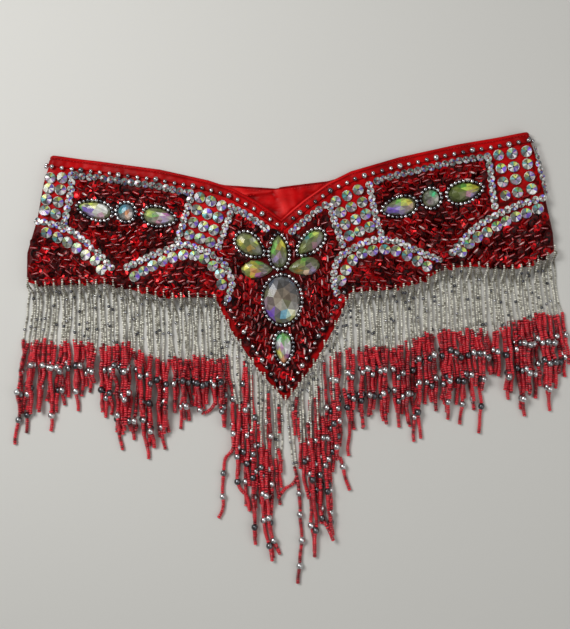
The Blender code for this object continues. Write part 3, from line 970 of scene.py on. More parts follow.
edgeRow = {
    "away": [(-200, 9.0), (-100, 8.6), (-40, 6.4), (0, 5.6), (40, 6.4), (100, 6.9), (210, 6.9)],
    "pitch": 7.7, "small": 3.8, "large": 5.1, "every": 4, "corner": 3.4,
    "corners": [(-196.5, 55.0), (-193.5, 53.0), (207.8, 60.2), (211.2, 59.0)],
    "tipPath": [
        (-49, -66), (-39, -83), (-24, -109), (-10, -131), (-2, -139), (9.5, -125), (26, -98),
        (40, -76), (50, -61),
    ],
    "tipPitch": 7.0,
}


def waistLine(side, away):
    # the waist edge on one side of the dip, moved in by away and kept off the other side's
    waist = np.array(loop["frontWaist"], float)
    half = waist[waist[:, 0] * side >= 0]
    steps = np.linspace(0, 1, 200)
    fine = np.column_stack([np.interp(steps, np.linspace(0, 1, len(half)), half[:, i]) for i in (0, 1)])
    run = unit(np.gradient(fine, axis=0))
    moved = fine + reading(away, fine[:, 0])[:, None] * np.stack([run[:, 1], -run[:, 0]], axis=1)
    return moved[moved[:, 0] * side > reading(away, 0) * 0.62]


def makeEdgeBeads():
    # along the waist on both sides and round the inside of the V, every fourth bead a large one
    leftRow = curveThrough(waistLine(-1, edgeRow["away"])[::-6], edgeRow["pitch"])
    rightRow = curveThrough(waistLine(1, edgeRow["away"])[::6], edgeRow["pitch"])
    tipRow = curveThrough(edgeRow["tipPath"], edgeRow["tipPitch"])
    places = np.concatenate([leftRow, rightRow, tipRow, edgeRow["corners"]])
    order = [np.arange(len(leftRow)) + 2, np.arange(len(rightRow)) + 2, np.arange(len(tipRow)), [1] * 4]
    order = np.concatenate(order)
    sizes = np.where(order % edgeRow["every"] == 0, edgeRow["large"], edgeRow["small"]) / 2
    sizes[-4:] = edgeRow["corner"] / 2
    places = places + chance.uniform(-0.25, 0.25, places.shape)
    centres, frames = setBeads(places, sizes + 0.35)
    tone = chance.uniform(0.2, 1, len(places))
    return scatter("edgeBeads", beadShape, centres, frames, sizes, "steel", tone)


print("steel beads")
stoneFrames = makeFrameBeads()
edgeBeads = makeEdgeBeads()


# foiled discs: sizes, the corners of the grids, and the lines that the rows follow
discs = {
    "small": 6.4, "large": 9.5, "smallPitch": 5.9, "largePitch": 9.4, "sides": 12,
    "grids": [  # corners: top left, top right, bottom left, bottom right, then across and down
        ((-67, 23), (-49, 15.5), (-77, -8), (-60, -15), 3, 4),
        ((46, 15.5), (65, 24), (56, -14), (73, -7), 3, 4),
        ((183, 48.5), (205, 50), (187, 14.5), (208.5, 19), 3, 4),
        ((-190, 43.5), (-180.5, 43), (-195.5, 16.5), (-187, 13.5), 2, 4),
    ],
    "largeRows": [
        [(-124, -41), (-105.5, -31), (-87, -25), (-76, -25), (-66, -28), (-59, -34), (-53, -41), (-52, -50)],
        [(120, -42), (104, -32), (94, -28), (84, -26), (75, -27), (65, -29.5), (57, -35), (51.5, -43),
         (48, -51)],
        [(-195, -2), (-184, -7.5), (-174, -13.5), (-166, -20), (-157, -26), (-151, -34)],
        [(213, 2), (203, -1), (194, -4), (185, -8), (175, -13), (165, -18), (155, -25), (149, -31)],
    ],
    "smallRows": [
        [(-173, 45), (-174, 33.5), (-177, 20), (-182, 1)],
        [(-75, 27), (-76, 18), (-80, 8.5), (-83, -2), (-87, -12)],
        [(-41, 14), (-43, 6), (-47, -3), (-53, -19)],
        [(41, 11), (44, -1), (47, -12), (50, -21)],
        [(74, 28), (77, 11), (79, 0), (84, -18)],
        [(174, 46), (175.5, 33), (176.5, 16), (178, 6)],
        [(213, 52), (215, 37), (217, 31), (218, 24), (220, 16)],
        [(-130, -33), (-109, -24), (-87, -17), (-82, -15.5), (-70, -19.5), (-58, -25), (-50, -32), (-45, -41),
         (-43, -51), (-47, -62)],
        [(130, -37), (112, -28.5), (96, -20), (84, -18), (72, -19), (62, -23), (52, -28), (45, -35),
         (42, -45), (42, -57), (44, -61)],
        [(-202, 8), (-188, 4.5), (-178, 1), (-166.5, -8), (-153.5, -20), (-143, -33)],
        [(217, 11), (204, 8), (191, 4), (180, -1), (164, -9), (154, -17), (141, -31)],
    ],
    "light": (0.5, 1.35), "picks": (0.45, 0.3, 0.25), "greyed": 0.16, "hole": 3.3,
    "largeKnot": (0.5, 0.62, 0.62), "largeKnotLift": 0.75,
    "smallKnot": (0.4, 0.85, 0.85), "smallKnotLift": 0.85,
    "waistAway": 13.6,
    "waistRuns": [(-171, -76, 0.48), (-41, -12.5, 1.15), (6, 40, 0.95), (80, 174, 0.6)],
}
discHues = [  # painted reflections: what a foiled disc shows by the way a facet faces, from its right round by its top
    ("violet", "lilac", "grey"), ("grey", "lime", "paleYellow"), ("paleYellow", "lime", "mint"),
    ("olive", "lime", "oliveGrey"), ("oliveGrey", "teal", "green"), ("teal", "oliveGrey", "slate"),
    ("slate", "pale", "oliveGrey"), ("charcoal", "grey", "mauve"), ("mauve", "white", "grey"),
    ("white", "pale", "lilac"), ("violet", "blueGrey", "white"), ("violet", "lilac", "pink"),
]
# the same painted reflections, for the small discs
smallHues = [
    ("pale", "lilac", "grey"), ("grey", "white", "pale"), ("white", "pale", "mint"),
    ("grey", "pale", "oliveGrey"), ("slate", "grey", "blueGrey"), ("charcoal", "grey", "slate"),
    ("pale", "slate", "charcoal"), ("charcoal", "grey", "white"), ("white", "grey", "blue"),
    ("white", "pale", "blueGrey"), ("blue", "blueGrey", "white"), ("violet", "lilac", "pale"),
]


def discShape():
    # a round slip of foiled glass: flat back, thin edge, narrow rim, then sectors up to a shallow middle
    n = discs["sides"]
    turns = np.arange(n) * 2 * math.pi / n
    rings = [(0.96, np.zeros(n)), (1.0, np.full(n, 0.12)), (0.88, np.full(n, 0.2)), (0.16, np.full(n, 0.3))]
    levels = [np.column_stack([r * np.cos(turns), r * np.sin(turns), z]) for r, z in rings]
    points = np.concatenate(levels)
    i = np.arange(n)
    after = (i + 1) % n
    bands = [np.stack([i, after, n + after, n + i], axis=-1) + k * n for k in range(3)]
    return points, [np.concatenate(bands), np.stack([i[::-1], 3 * n + i])]


def gridPlaces(corners, across, down):
    # straight rows between the corners, each place a blend of the four
    topLeft, topRight, bottomLeft, bottomRight = (np.array(c, float) for c in corners)
    u, v = np.meshgrid(np.linspace(0, 1, across), np.linspace(0, 1, down))
    u, v = u.ravel()[:, None], v.ravel()[:, None]
    return (topLeft * (1 - u) + topRight * u) * (1 - v) + (bottomLeft * (1 - u) + bottomRight * u) * v


def discPlaces():
    # middles of the large discs, then of the small with the way each row runs and how dark it is
    large = [gridPlaces(grid[:4], grid[4], grid[5]) for grid in discs["grids"]]
    large += [curveThrough(row, discs["largePitch"]) for row in discs["largeRows"]]
    small = [curveThrough(row, discs["smallPitch"]) for row in discs["smallRows"]]
    lights = [1.2] * len(small)
    for start, end, light in discs["waistRuns"]:
        line = waistLine(math.copysign(1, start + end), [(0, discs["waistAway"])])
        line = line[(line[:, 0] >= start) & (line[:, 0] <= end)]
        small.append(curveThrough(line[::5], discs["smallPitch"]))
        lights.append(light)
    runs = np.concatenate([unit(np.gradient(row, axis=0)) for row in small])
    light = np.repeat(lights, [len(row) for row in small])
    return np.concatenate(large), np.concatenate(small), runs, light


def discColours(light, hues, spread):
    # each sector's painted reflection by the way it faces on its disc, greyed, and dimmed or lit at random
    n, count = discs["sides"], len(light)
    table = np.array([[linear(name) for name in row] for row in hues])
    slip = np.round(chance.normal(0, spread, (count, 1)))
    sector = (np.arange(n)[None] + slip).astype(int) % n
    pick = chance.choice(3, (count, n), p=discs["picks"])
    lit = chance.uniform(*discs["light"], (count, n, 1)) * chance.uniform(0.75, 1.15, (count, 1, 1))
    inner = table[sector, pick] * lit
    grey = np.array(linear("grey")) * chance.uniform(0.7, 1.5, (count, 1, 1))
    inner = inner * (1 - discs["greyed"]) + grey * discs["greyed"]
    turns = (np.arange(n) + 0.5) * 2 * math.pi / n - chance.uniform(0, math.pi, (count, 1))
    # a painted highlight on the rim in two opposite arcs at a random turn, the rest of it grey
    rim = 0.3 * grey + np.maximum(np.cos(2 * turns), 0)[..., None] * np.array(linear("pale"))
    edge = np.broadcast_to(grey * 0.35, inner.shape)
    caps = np.stack([np.full((count, 3), 0.05), np.full((count, 3), 0.03)], axis=1)
    return np.clip(np.concatenate([edge, rim, inner, caps], axis=1) * light[:, None, None], 0, 1)


def makeDiscs(name, places, size, hues, spread, lift, tip, runs, light):
    # discs laid on the cloth, lapped along their row and tipped a little their own way
    centres, ups = seat(places[:, 0], places[:, 1], lift + chance.uniform(0, 0.35, len(places)))
    lean = chance.normal(0, tip, (len(places), 3))
    ups = unit(ups + lean * [1, 1, 0] + np.column_stack([runs, 0 * runs[:, :1]]) * 0.1)
    ways = np.tile([1.0, 0.0, 0.0], (len(places), 1))
    ways = ways - (ways * ups).sum(1, keepdims=True) * ups
    sizes = size / 2 * chance.uniform(0.96, 1.03, len(places))
    facet = discColours(light, hues, spread)
    made = scatter(
        name, discShape(), centres, framesOf(ways, ups), sizes, "disc",
        facet=facet, rounded=False,
    )
    return made, centres, ups


knotShape = turned([(-0.5, 0.5), (-0.3, 1.0), (0.3, 1.0), (0.5, 0.5)], 6)


def makeDiscThreads(largeSeats, smallSeats):
    # a dark knot of thread in each disc's hole: near the top of a large one, in the middle of a small one
    largeCentres, largeUps = largeSeats
    smallCentres, smallUps = smallSeats
    up = np.array([0.0, 1.0, 0.0])
    centres = np.concatenate([
        largeCentres + discs["hole"] * up + largeUps * discs["largeKnotLift"],
        smallCentres + smallUps * discs["smallKnotLift"],
    ])
    ups = np.concatenate([largeUps, smallUps])
    sizes = np.concatenate([
        np.tile(discs["largeKnot"], (len(largeCentres), 1)),
        np.tile(discs["smallKnot"], (len(smallCentres), 1)),
    ])
    side = np.tile([1.0, 0, 0], (len(centres), 1))
    tone = chance.uniform(-0.3, 0.4, len(centres))
    return scatter("discThreads", knotShape, centres, framesOf(ups, side), sizes, "thread", tone)


print("discs")
largePlaces, smallPlaces, smallRuns, smallLight = discPlaces()
largePlaces = largePlaces + chance.uniform(-0.3, 0.3, largePlaces.shape)
smallPlaces = smallPlaces + chance.uniform(-0.25, 0.25, smallPlaces.shape)
largeDiscs, *largeSeats = makeDiscs(
    "largeDiscs", largePlaces, discs["large"], discHues, 0.9, 0.9, 0.06, 0 * largePlaces,
    np.where(largePlaces[:, 0] > 140, 1.22, 1.0),
)
smallDiscs, *smallSeats = makeDiscs(
    "smallDiscs", smallPlaces, discs["small"], smallHues, 3.0, 1.6, 0.04, smallRuns, smallLight,
)
discThreads = makeDiscThreads(largeSeats, smallSeats)


# the dark ground of the front: cup sequins lapped in rows, and bugle beads sewn over them
bugles = {
    "length": 6.4, "thick": 1.12, "rowGap": 5.4, "along": 8.6, "loose": 13.0, "lift": 2.6,
    "sequin": 8.3, "sequinGap": 4.7, "sequinAlong": 6.0, "sequinLift": 1.3, "lean": 0.2, "tip": 0.22,
    "sequinSides": 10, "waistAway": 17.0, "dipAway": 15, "hemAway": 1.6, "vBand": 4.8,
    "stoneRoom": 2.6, "bareRoom": 1.0, "largeRoom": 5.6, "smallRoom": 3.6,
}
bugleShape = turned(
    [(-0.5, 0.75), (-0.43, 1.0), (-0.26, 1.0), (0.26, 1.0), (0.43, 1.0), (0.5, 0.75)],
    7, [79, 101, 150, 210, 270, 330, 390],
)
sequinShape = turned(
    [(-0.04, 0.35), (0.15, 1.0), (0.21, 0.97), (0.08, 0.5), (0.04, 0.16)], bugles["sequinSides"],
)


def insideCentre(x, y):
    # the middle shield between the two inner grids, down to the tip of the V
    reach = np.interp(y, [-150, -64, -20, 12], [2, 44, 38, 30])
    return (np.abs(x + 1) < reach) & (y < 12)


def groundPlaces(along, rowGap, shake, extra):
    # bricked rows, along X or upright inside the shield, each place nudged, kept where the ground is free
    places = []
    for upright in (False, True):
        u = np.arange(-235, 240, along)
        v = np.arange(-160, 70, rowGap)
        across, row = np.meshgrid(u, v)
        across = across + (np.arange(len(v)) % 2)[:, None] * along / 2
        across = across + chance.uniform(-shake, shake, across.shape)
        row = row + chance.uniform(-0.7, 0.7, row.shape) * shake
        x, y = (row.ravel() + 40, across.ravel() - 50) if upright else (across.ravel(), row.ravel())
        side = np.where(x < 0, -1.0, 1.0)
        kept = (insideCentre(x, y) == upright) & (np.abs(x) < axisReach(side, y) - 1.2)
        kept &= clearOf(x, y, extra)
        places.append(np.column_stack([x[kept], y[kept]]))
    return np.concatenate(places)


def rowAngle(x, y):
    # how the rows lean, in degrees: with the arches beside them, and outwards below the oval stone
    left = np.interp(x, [-214, -190, -160, -135, -110, -85, -60], [-10, -25, -30, 10, 28, 6, -14])
    right = np.interp(x, [60, 100, 125, 140, 155, 190, 226], [4, -30, -25, 10, 42, 28, 8])
    side = np.where(x < 0, left, right) * smooth((14 - y) / 20)
    upper = np.where(x < 0, -9.0, 9.0) * smooth((y - 6) / 20)
    tilt = 90 + np.clip(x * 0.9, -35, 35) * smooth((-62 - y) / 30)
    return np.where(insideCentre(x, y), tilt, side + upper)


def besideEdges(x, y, ring):
    # above 0 where a place lies to the left of each edge of a closed ring, and below 0 to its right
    run = np.roll(ring, -1, axis=0) - ring
    return run[:, 0] * (y[..., None] - ring[:, 1]) - run[:, 1] * (x[..., None] - ring[:, 0])


def clearOf(x, y, extra=0.0):
    # whether a bead's middle or end is off the stones, their frames, the discs and the edges
    down = reading(loop["frontWaist"], x) - y
    free = (down > bugles["waistAway"] + extra) | (np.abs(x) < 30) & (down > bugles["dipAway"] + extra)
    free &= y > reading(loop["frontHem"], x) + bugles["hemAway"]
    vEdge = loop["frontHem"][6:13]
    free &= np.min([nearLine(x, y, (*a, *b))[0] for a, b in zip(vEdge, vEdge[1:])], axis=0) > bugles["vBand"]
    turns = np.linspace(0, 2 * math.pi, 49)[:-1]
    for name, stone in stones.items():
        away = bugles["bareRoom" if name in bareStones else "stoneRoom"] + extra
        edge = outlineOf(stone["form"], turns, away) + stone["form"][1:3]
        free &= (besideEdges(x, y, edge) < 0).any(axis=-1)
    for places, room in ((largePlaces, bugles["largeRoom"]), (smallPlaces, bugles["smallRoom"])):
        for place in places:
            free &= np.hypot(x - place[0], y - place[1]) > room + extra
    for corners in discs["grids"]:
        ring = np.array([corners[0], corners[1], corners[3], corners[2]], float)
        free &= (besideEdges(x, y, ring) > 0).any(axis=-1)
    return free


def makeSequins():
    # cupped sequins lapped like scales, each leaning along its row and tipped its own way
    places = groundPlaces(bugles["sequinAlong"], bugles["sequinGap"], 0.8, 1.2)
    count = len(places)
    x, y = places.T
    centres, ups = seat(x, y, bugles["sequinLift"] + chance.uniform(0, 0.7, count))
    turn = np.radians(rowAngle(x, y))
    lean = np.column_stack([np.cos(turn), np.sin(turn), np.zeros(count)]) * bugles["lean"]
    ups = unit(ups + lean + chance.normal(0, bugles["tip"], (count, 3)) * [1, 1, 0])
    spin = chance.uniform(0, 2 * math.pi, count)
    ways = np.column_stack([np.cos(spin), np.sin(spin), np.zeros(count)])
    n = bugles["sequinSides"]
    shade = np.array([linear(name) for name in ("sequinDark", "sequin", "sequinBright")])
    main = shade[chance.choice(3, count, p=[0.44, 0.38, 0.18])][:, None]
    # darker in the middle shield, and brighter at its tip
    depth = np.where(insideCentre(x, y), np.interp(y, [-125, -100], [1.15, 0.72]), 1.0)
    main = main * depth[:, None, None]
    turns = np.arange(n) * 2 * math.pi / n
    # painted light and shade: each cup's wall lighter towards a random side and its floor the other way, a
    # painted highlight on its rim, and painted shade on its back and ends
    litFrom = chance.uniform(0, 2 * math.pi, (count, 1))
    paintedLitSide = np.maximum(0.74 + 0.78 * np.cos(turns[None] - litFrom), 0.08)[..., None]
    wall = main * paintedLitSide
    floor = main * np.maximum(1.45 - 0.8 * paintedLitSide, 0.1)
    rim = np.broadcast_to(main * 1.7 + 0.01, wall.shape)
    back = np.broadcast_to(main * 0.3, wall.shape)
    caps = np.broadcast_to(main * 0.15, (count, 2, 3))
    facet = np.clip(np.concatenate([back, rim, wall, floor, caps], axis=1), 0, 1)
    sizes = bugles["sequin"] / 2 * chance.uniform(0.93, 1.04, count)
    return scatter(
        "cupSequins", sequinShape, centres, framesOf(ups, ways), sizes, "sequin",
        facet=facet, rounded=False,
    )


def makeBugles():
    # tubes over the sequins, each with a painted highlight along its top: a pale broken glint
    places = groundPlaces(bugles["along"], bugles["rowGap"], 1.1, 0.3)
    x, y = places.T
    turn = np.radians(rowAngle(x, y) + chance.normal(0, bugles["loose"], len(x)))
    length = bugles["length"] * chance.uniform(0.86, 1.06, len(x))
    fits = np.ones(len(x), bool)
    for end in (-0.5, 0.5):
        fits &= clearOf(x + end * 0.75 * length * np.cos(turn), y + end * 0.75 * length * np.sin(turn))
    x, y, turn, length = x[fits], y[fits], turn[fits], length[fits]
    count = len(x)
    centres, ups = seat(x, y, bugles["lift"] + chance.uniform(0, 0.6, count))
    ways = np.column_stack([np.cos(turn), np.sin(turn), chance.normal(0, 0.1, count)])
    ways = ways - (ways * ups).sum(1, keepdims=True) * ups * 0.85
    thick = bugles["thick"] * chance.uniform(0.9, 1.08, count)
    share = chance.beta(1.1, 2.4, (count, 1, 1))
    body = np.array(linear("wine")) * (1 - share) + np.array(linear("wineLight")) * share
    # painted shade: the lower faces darker and the upper ones lighter
    sides = body * np.array([1.0, 0.95, 0.6, 0.3, 0.3, 0.7, 1.1])[None, :, None]
    # the painted glint on the top face, and a brighter painted flash on a few
    lit = chance.choice([0.05, 0.3, 0.7, 1.0], (count, 1), p=[0.16, 0.26, 0.3, 0.28])
    glint = np.array(linear("glint")) * lit
    flash = chance.random(count) < 0.05
    tube = sides.copy()
    tube[:, 0] = glint
    tube[flash, 0] = linear("spark")
    tube[flash, 1] = linear("spark")
    # the shoulders take part of the painted glint, and the end faces are in painted shade
    shoulder = 0.7 * sides + 0.3 * tube
    caps = np.broadcast_to(body * 0.4, (count, 2, 3))
    facet = np.clip(np.concatenate([sides, shoulder, tube, shoulder, sides, caps], axis=1), 0, 1)
    scales = np.column_stack([length, thick, thick])
    return scatter(
        "bugleBeads", bugleShape, centres, framesOf(ways, ups), scales, "bugle", facet=facet,
    )


def shadeFrontUnderBeads():
    # marks where the front's cloth lies under bugles, for its material to paint shade there
    mesh = frontSatin.data
    flat = np.empty(len(mesh.vertices) * 3, np.float32)
    mesh.vertices.foreach_get("co", flat)
    places = flat.reshape(-1, 3) / mm
    x, y = places[:, 0].astype(float), places[:, 1].astype(float)
    # painted shade: full under the bugles and round the stones, partly in the lower middle of the V
    beaded = np.where(clearOf(x, y), 1.0, np.where((np.abs(x) < 50) & (y < -60), 0.45, 0.0))
    for stone in stones.values():
        edge = outlineOf(stone["form"], np.linspace(0, 2 * math.pi, 25)[:-1], 1.5) + stone["form"][1:3]
        beaded[np.min([np.hypot(x - a, y - b) for a, b in edge], axis=0) < 3.4] = 1
    given = mesh.attributes.new("beaded", "FLOAT", "POINT")
    given.data.foreach_set("value", beaded.astype(np.float32))


print("sequins and bugles")
cupSequins = makeSequins()
bugleBeads = makeBugles()
shadeFrontUnderBeads()


# the fringe: how its strands are spaced, what they are strung with, and where they start and end
fringe = {
    "strandGap": 3.5, "vLaps": (5.5, 0.3, 0.8), "underGap": 2.8, "vGap": 3.2, "vClear": [(6, 26), (42, 66)],
    "vShort": [  # across the V, how likely a strand's clear part is to be the shorter one
        (-60, 0.9), (-36, 0.7), (-24, 0.14), (0, 0.08), (16, 0.3), (26, 0.72), (38, 0.85), (60, 0.92),
    ],
    "kinds": {  # length along the strand and radius
        "clear": (1.42, 0.98), "spark": (2.3, 1.3), "red": (1.85, 1.72), "steel": (4.8, 2.95),
    },
    "bands": (17, 35, 53, 72, 91, 110),  # how far into the red the steel beads come
    "settle": 0.82, "pressed": 0.62, "sag": 0.15,
    "redLine": [
        (-217, -93), (-205, -93), (-190, -95), (-170, -95), (-160, -98), (-130, -98), (-120, -105),
        (-100, -111), (-40, -112), (40, -108), (100, -108), (112, -101), (130, -97), (150, -97),
        (160, -99), (175, -98), (185, -92), (200, -90), (210, -86), (232, -84),
    ],
    "drift": [
        (-215, -15), (-190, -9), (-175, -4), (-150, -2), (-120, 0), (120, 0), (150, 2), (200, 4), (226, 9),
    ],
    "leftTips": [  # each bunch's longest strand: where it ends, and how high those beside it reach
        (-230, -178, -152), (-220, -171, -150), (-209, -175, -152), (-199, -167, -138), (-186, -150, -138),
        (-177, -155, -132), (-165, -139, -126), (-153, -159, -148), (-141, -190, -166), (-131, -180, -166),
        (-119, -195, -172), (-105, -188, -170), (-91, -174, -158), (-83, -166, -148), (-70, -157, -146),
        (-61, -154, -146),
    ],
    "rightTips": [
        (61, -178, -156), (68, -167, -156), (81, -177, -160), (91, -176, -160), (104, -191, -160),
        (124, -167, -154), (133, -172, -150), (143, -178, -150), (158, -184, -142), (173, -139, -132),
        (184, -156, -146), (197, -173, -150), (218, -169, -142), (224, -153, -134), (233, -140, -130),
    ],
    "leftVTips": [
        (-54, -171, -163), (-48, -190, -172), (-45, -212, -190), (-38, -241, -205), (-32, -268, -225),
        (-27, -256, -228), (-18, -283, -232), (-13, -275, -225), (-11, -236, -195), (-9, -182, -170),
    ],
    "rightVTips": [
        (8, -166, -160), (13, -212, -196), (17, -280, -215), (24, -256, -222), (32, -266, -215),
        (35, -211, -195), (42, -192, -182), (47, -226, -186), (53, -179, -168),
    ],
}
clearBead, sparkBead, redBead, steelBead = range(4)  # in the order of the kinds above
grid = {"step": 0.75, "left": -245.0, "low": -312.0, "across": 654, "up": 400}


def makeGround():
    # the height of what the fringe lies on: the belt, a short slope off its hem, then the table
    x = grid["left"] + grid["step"] * np.arange(grid["across"])
    y = grid["low"] + grid["step"] * np.arange(grid["up"])
    gx, gy = np.meshgrid(x, y)
    hem = reading(loop["frontHem"], gx)
    side = np.where(gx < 0, -1.0, 1.0)
    edge = axisReach(side, np.maximum(gy, -46)) + loop["foldRadius"]
    beaded = reading(loop["frontWaist"], gx) - gy > 20
    top = seat(gx, np.maximum(gy, -46), 0)[0][..., 2] + bugles["lift"] * 0.8 * beaded
    top = np.where(np.abs(gx) < edge, top, 0)
    return np.where(gy > hem, top, top * (1 - smooth((hem - gy) / 7)))


ground = makeGround()


def cellsNear(x, y, radius):
    # grid cells within a bead's radius: their row and column numbers and squared distances
    reach = int(math.ceil(radius.max() / grid["step"]))
    steps = np.arange(-reach, reach + 1)
    ox, oy = (part.ravel() for part in np.meshgrid(steps, steps))
    column = np.round((x - grid["left"]) / grid["step"]).astype(int)[:, None] + ox
    row = np.round((y - grid["low"]) / grid["step"]).astype(int)[:, None] + oy
    column = np.clip(column, 0, grid["across"] - 1)
    row = np.clip(row, 0, grid["up"] - 1)
    dx = grid["left"] + column * grid["step"] - x[:, None]
    dy = grid["low"] + row * grid["step"] - y[:, None]
    return row, column, dx * dx + dy * dy


def layBeads(x, y, radius):
    # rests a strand's beads on what is there, eases its line, and adds it to what is there
    row, column, squared = cellsNear(x, y, radius)
    within = squared < (radius ** 2)[:, None]
    dome = np.sqrt(np.maximum((radius ** 2)[:, None] - squared, 0))
    touch = np.where(within, ground[row, column] + fringe["settle"] * dome, 0).max(axis=1)
    z = np.maximum(touch, radius)
    for _ in range(3):
        padded = np.concatenate([z[:1], z, z[-1:]])
        z = np.maximum(z - fringe["sag"], (padded[:-2] + 2 * padded[1:-1] + padded[2:]) / 4)
    z = np.maximum(z, radius)
    heights = np.where(within, z[:, None] + fringe["pressed"] * dome, 0)
    np.maximum.at(ground, (row, column), heights)
    return z


def beadKinds(clearLength, redLength, sparks, steelShift):
    # the order of a strand's beads: clear with a few sparks, then red with steel at each band
    kinds = fringe["kinds"]
    clearCount = max(0, round(clearLength / kinds["clear"][0]))
    redCount = max(0, round(redLength / kinds["red"][0]))
    clear = np.full(clearCount, clearBead)
    if clearCount > 6:
        clear[chance.integers(3, clearCount, sparks)] = sparkBead
    red = np.full(redCount, redBead)
    for band in fringe["bands"]:
        at = round((band + steelShift + chance.normal(0, 2.0)) / kinds["red"][0])
        if 0 < at < redCount - 4 and chance.random() < 0.86:
            red[at] = steelBead
    return np.concatenate([clear, red])


class Strands:
    # beads gathered strand by strand, by region

    def __init__(self):
        self.rows = {}

    def add(self, region, path, clearLength, sparks=2, steelShift=0.0, wobble=1.0, shaded=0.0):
        # beads end to end along a smooth path, with waves that grow towards its free end
        line = curveThrough(path, 0.5)
        gone = lengthsAlong(line)
        total = gone[-1]
        slack = smooth((gone - clearLength * 0.55) / 40)
        phase = chance.uniform(0, 2 * math.pi, 3)
        wave = np.sin(gone / 4.1 + phase[0]) * 0.42 + np.sin(gone / 7.3 + phase[1]) * 0.6
        small = np.sin(gone / 2.6 + phase[2]) * 0.14 * wobble
        line = line + np.column_stack([wave * slack * wobble + small, 0 * wave])
        kind = beadKinds(clearLength, total - clearLength, sparks, steelShift)
        if len(kind) < 2:
            return
        sizes = np.array(list(fringe["kinds"].values()))
        kind = kind[np.cumsum(sizes[kind, 0]) < total + 1]
        kind[-4:] = np.where(kind[-4:] == steelBead, redBead, kind[-4:])  # a strand ends in red beads
        length, radius = sizes[kind, 0], sizes[kind, 1] * chance.uniform(0.93, 1.06, len(kind))
        at = np.cumsum(length) - length / 2
        x = np.interp(at, gone, line[:, 0])
        y = np.interp(at, gone, line[:, 1])
        z = layBeads(x, y, radius)
        spots = np.column_stack([x, y, z])
        count = len(kind)
        tone = chance.uniform(0.15, 0.85) + chance.normal(0, 0.24, count)
        tone = np.where((kind == redBead) & (chance.random(count) < 0.14), 1.1, tone)  # a painted glint
        tone = np.where(kind == sparkBead, chance.uniform(-0.1, 0.7, count), tone)
        tone = np.where(kind == steelBead, chance.uniform(0.1, 1.0, count), tone)
        clearTone = chance.normal(0.6, 0.3, count) - shaded * bell(at, 13)  # painted shade under the hem
        tone = np.where(kind == clearBead, clearTone, tone)
        ways = unit(np.gradient(spots, axis=0))
        self.rows.setdefault(region, []).append((spots, ways, kind, radius, tone))

    def beads(self, region, kind):
        # the middles, ways, radii and tones of a region's beads of some kinds
        rows = self.rows[region]
        spots, ways, kinds, radii, tones = (np.concatenate([row[i] for row in rows]) for i in range(5))
        chosen = np.isin(kinds, kind)
        return spots[chosen], ways[chosen], radii[chosen], tones[chosen]


def endOf(tips, x, under):
    # where a strand ends: at its bunch's tip if it is the nearest, else somewhere above it
    rows = np.array(tips, float)
    far = np.abs(rows[:, 0] - x)
    tipX, tipY, notch = rows[int(far.argmin())]
    if far.min() < fringe["strandGap"] * 0.55 and not under:
        return x + (tipX - x) * 0.8, tipY + chance.uniform(0, 3)
    share = chance.beta(1.1, 1.9) - (0.35 if under else 0.05)
    return x + (tipX - x) * chance.uniform(0.1, 0.5) + chance.normal(0, 1.6), notch + (tipY - notch) * share


def sidePath(attach, pair, tips):
    # down off the hem, out with the drift of that side, then over towards its bunch
    x = attach + pair * fringe["strandGap"] / 2
    hem = float(reading(loop["frontHem"], attach))
    slip = chance.normal(0, 1.8)
    line = float(reading(fringe["redLine"], x)) + slip
    endX, endY = endOf(tips, x + float(reading(fringe["drift"], x)), pair == 0)
    endY = min(endY, line - 14)
    lineX = x + float(reading(fringe["drift"], x)) * 0.42 + chance.normal(0, 0.75)
    lap = chance.uniform(3.0, 5.8) if pair < 0 else -0.5
    start = attach + (0, -fringe["strandGap"], 0.9)[(pair == 0) + 2 * (pair > 0)]
    path = [(start, hem + lap), (start, hem - 1.0), (x + chance.normal(0, 0.4), hem - 14)]
    path += [(x + (lineX - x) * 0.4 + chance.normal(0, 0.5), hem + (line - hem) * 0.65), (lineX, line)]
    path += [(lineX + (endX - lineX) * 0.5 + chance.normal(0, 1.4), 0.5 * (line + endY)), (endX, endY)]
    return path, hem + lap - line, slip


def vPath(attach, tips, lap):
    # a strand off the V's edge: straight down, then gathered to a bunch
    x = attach
    hem = float(reading(loop["frontHem"], x))
    lengths = fringe["vClear"][0 if chance.random() < reading(fringe["vShort"], x) else 1]
    line = hem - chance.uniform(*lengths)
    line = min(line, float(reading(fringe["redLine"], x)) + chance.normal(0, 2))
    endX, endY = endOf(tips, x + chance.normal(0, 1.0), False)
    endY = min(endY, line - 22)
    path = [
        (x, hem + lap), (x, hem - 0.5), (x + (endX - x) * 0.2 + chance.normal(0, 1.1), 0.5 * (hem + line)),
        (x + (endX - x) * 0.5 + chance.normal(0, 1.2), line),
        (x + (endX - x) * 0.8 + chance.normal(0, 1.0), 0.5 * (line + endY)), (endX, endY),
    ]
    return path, hem + lap - line


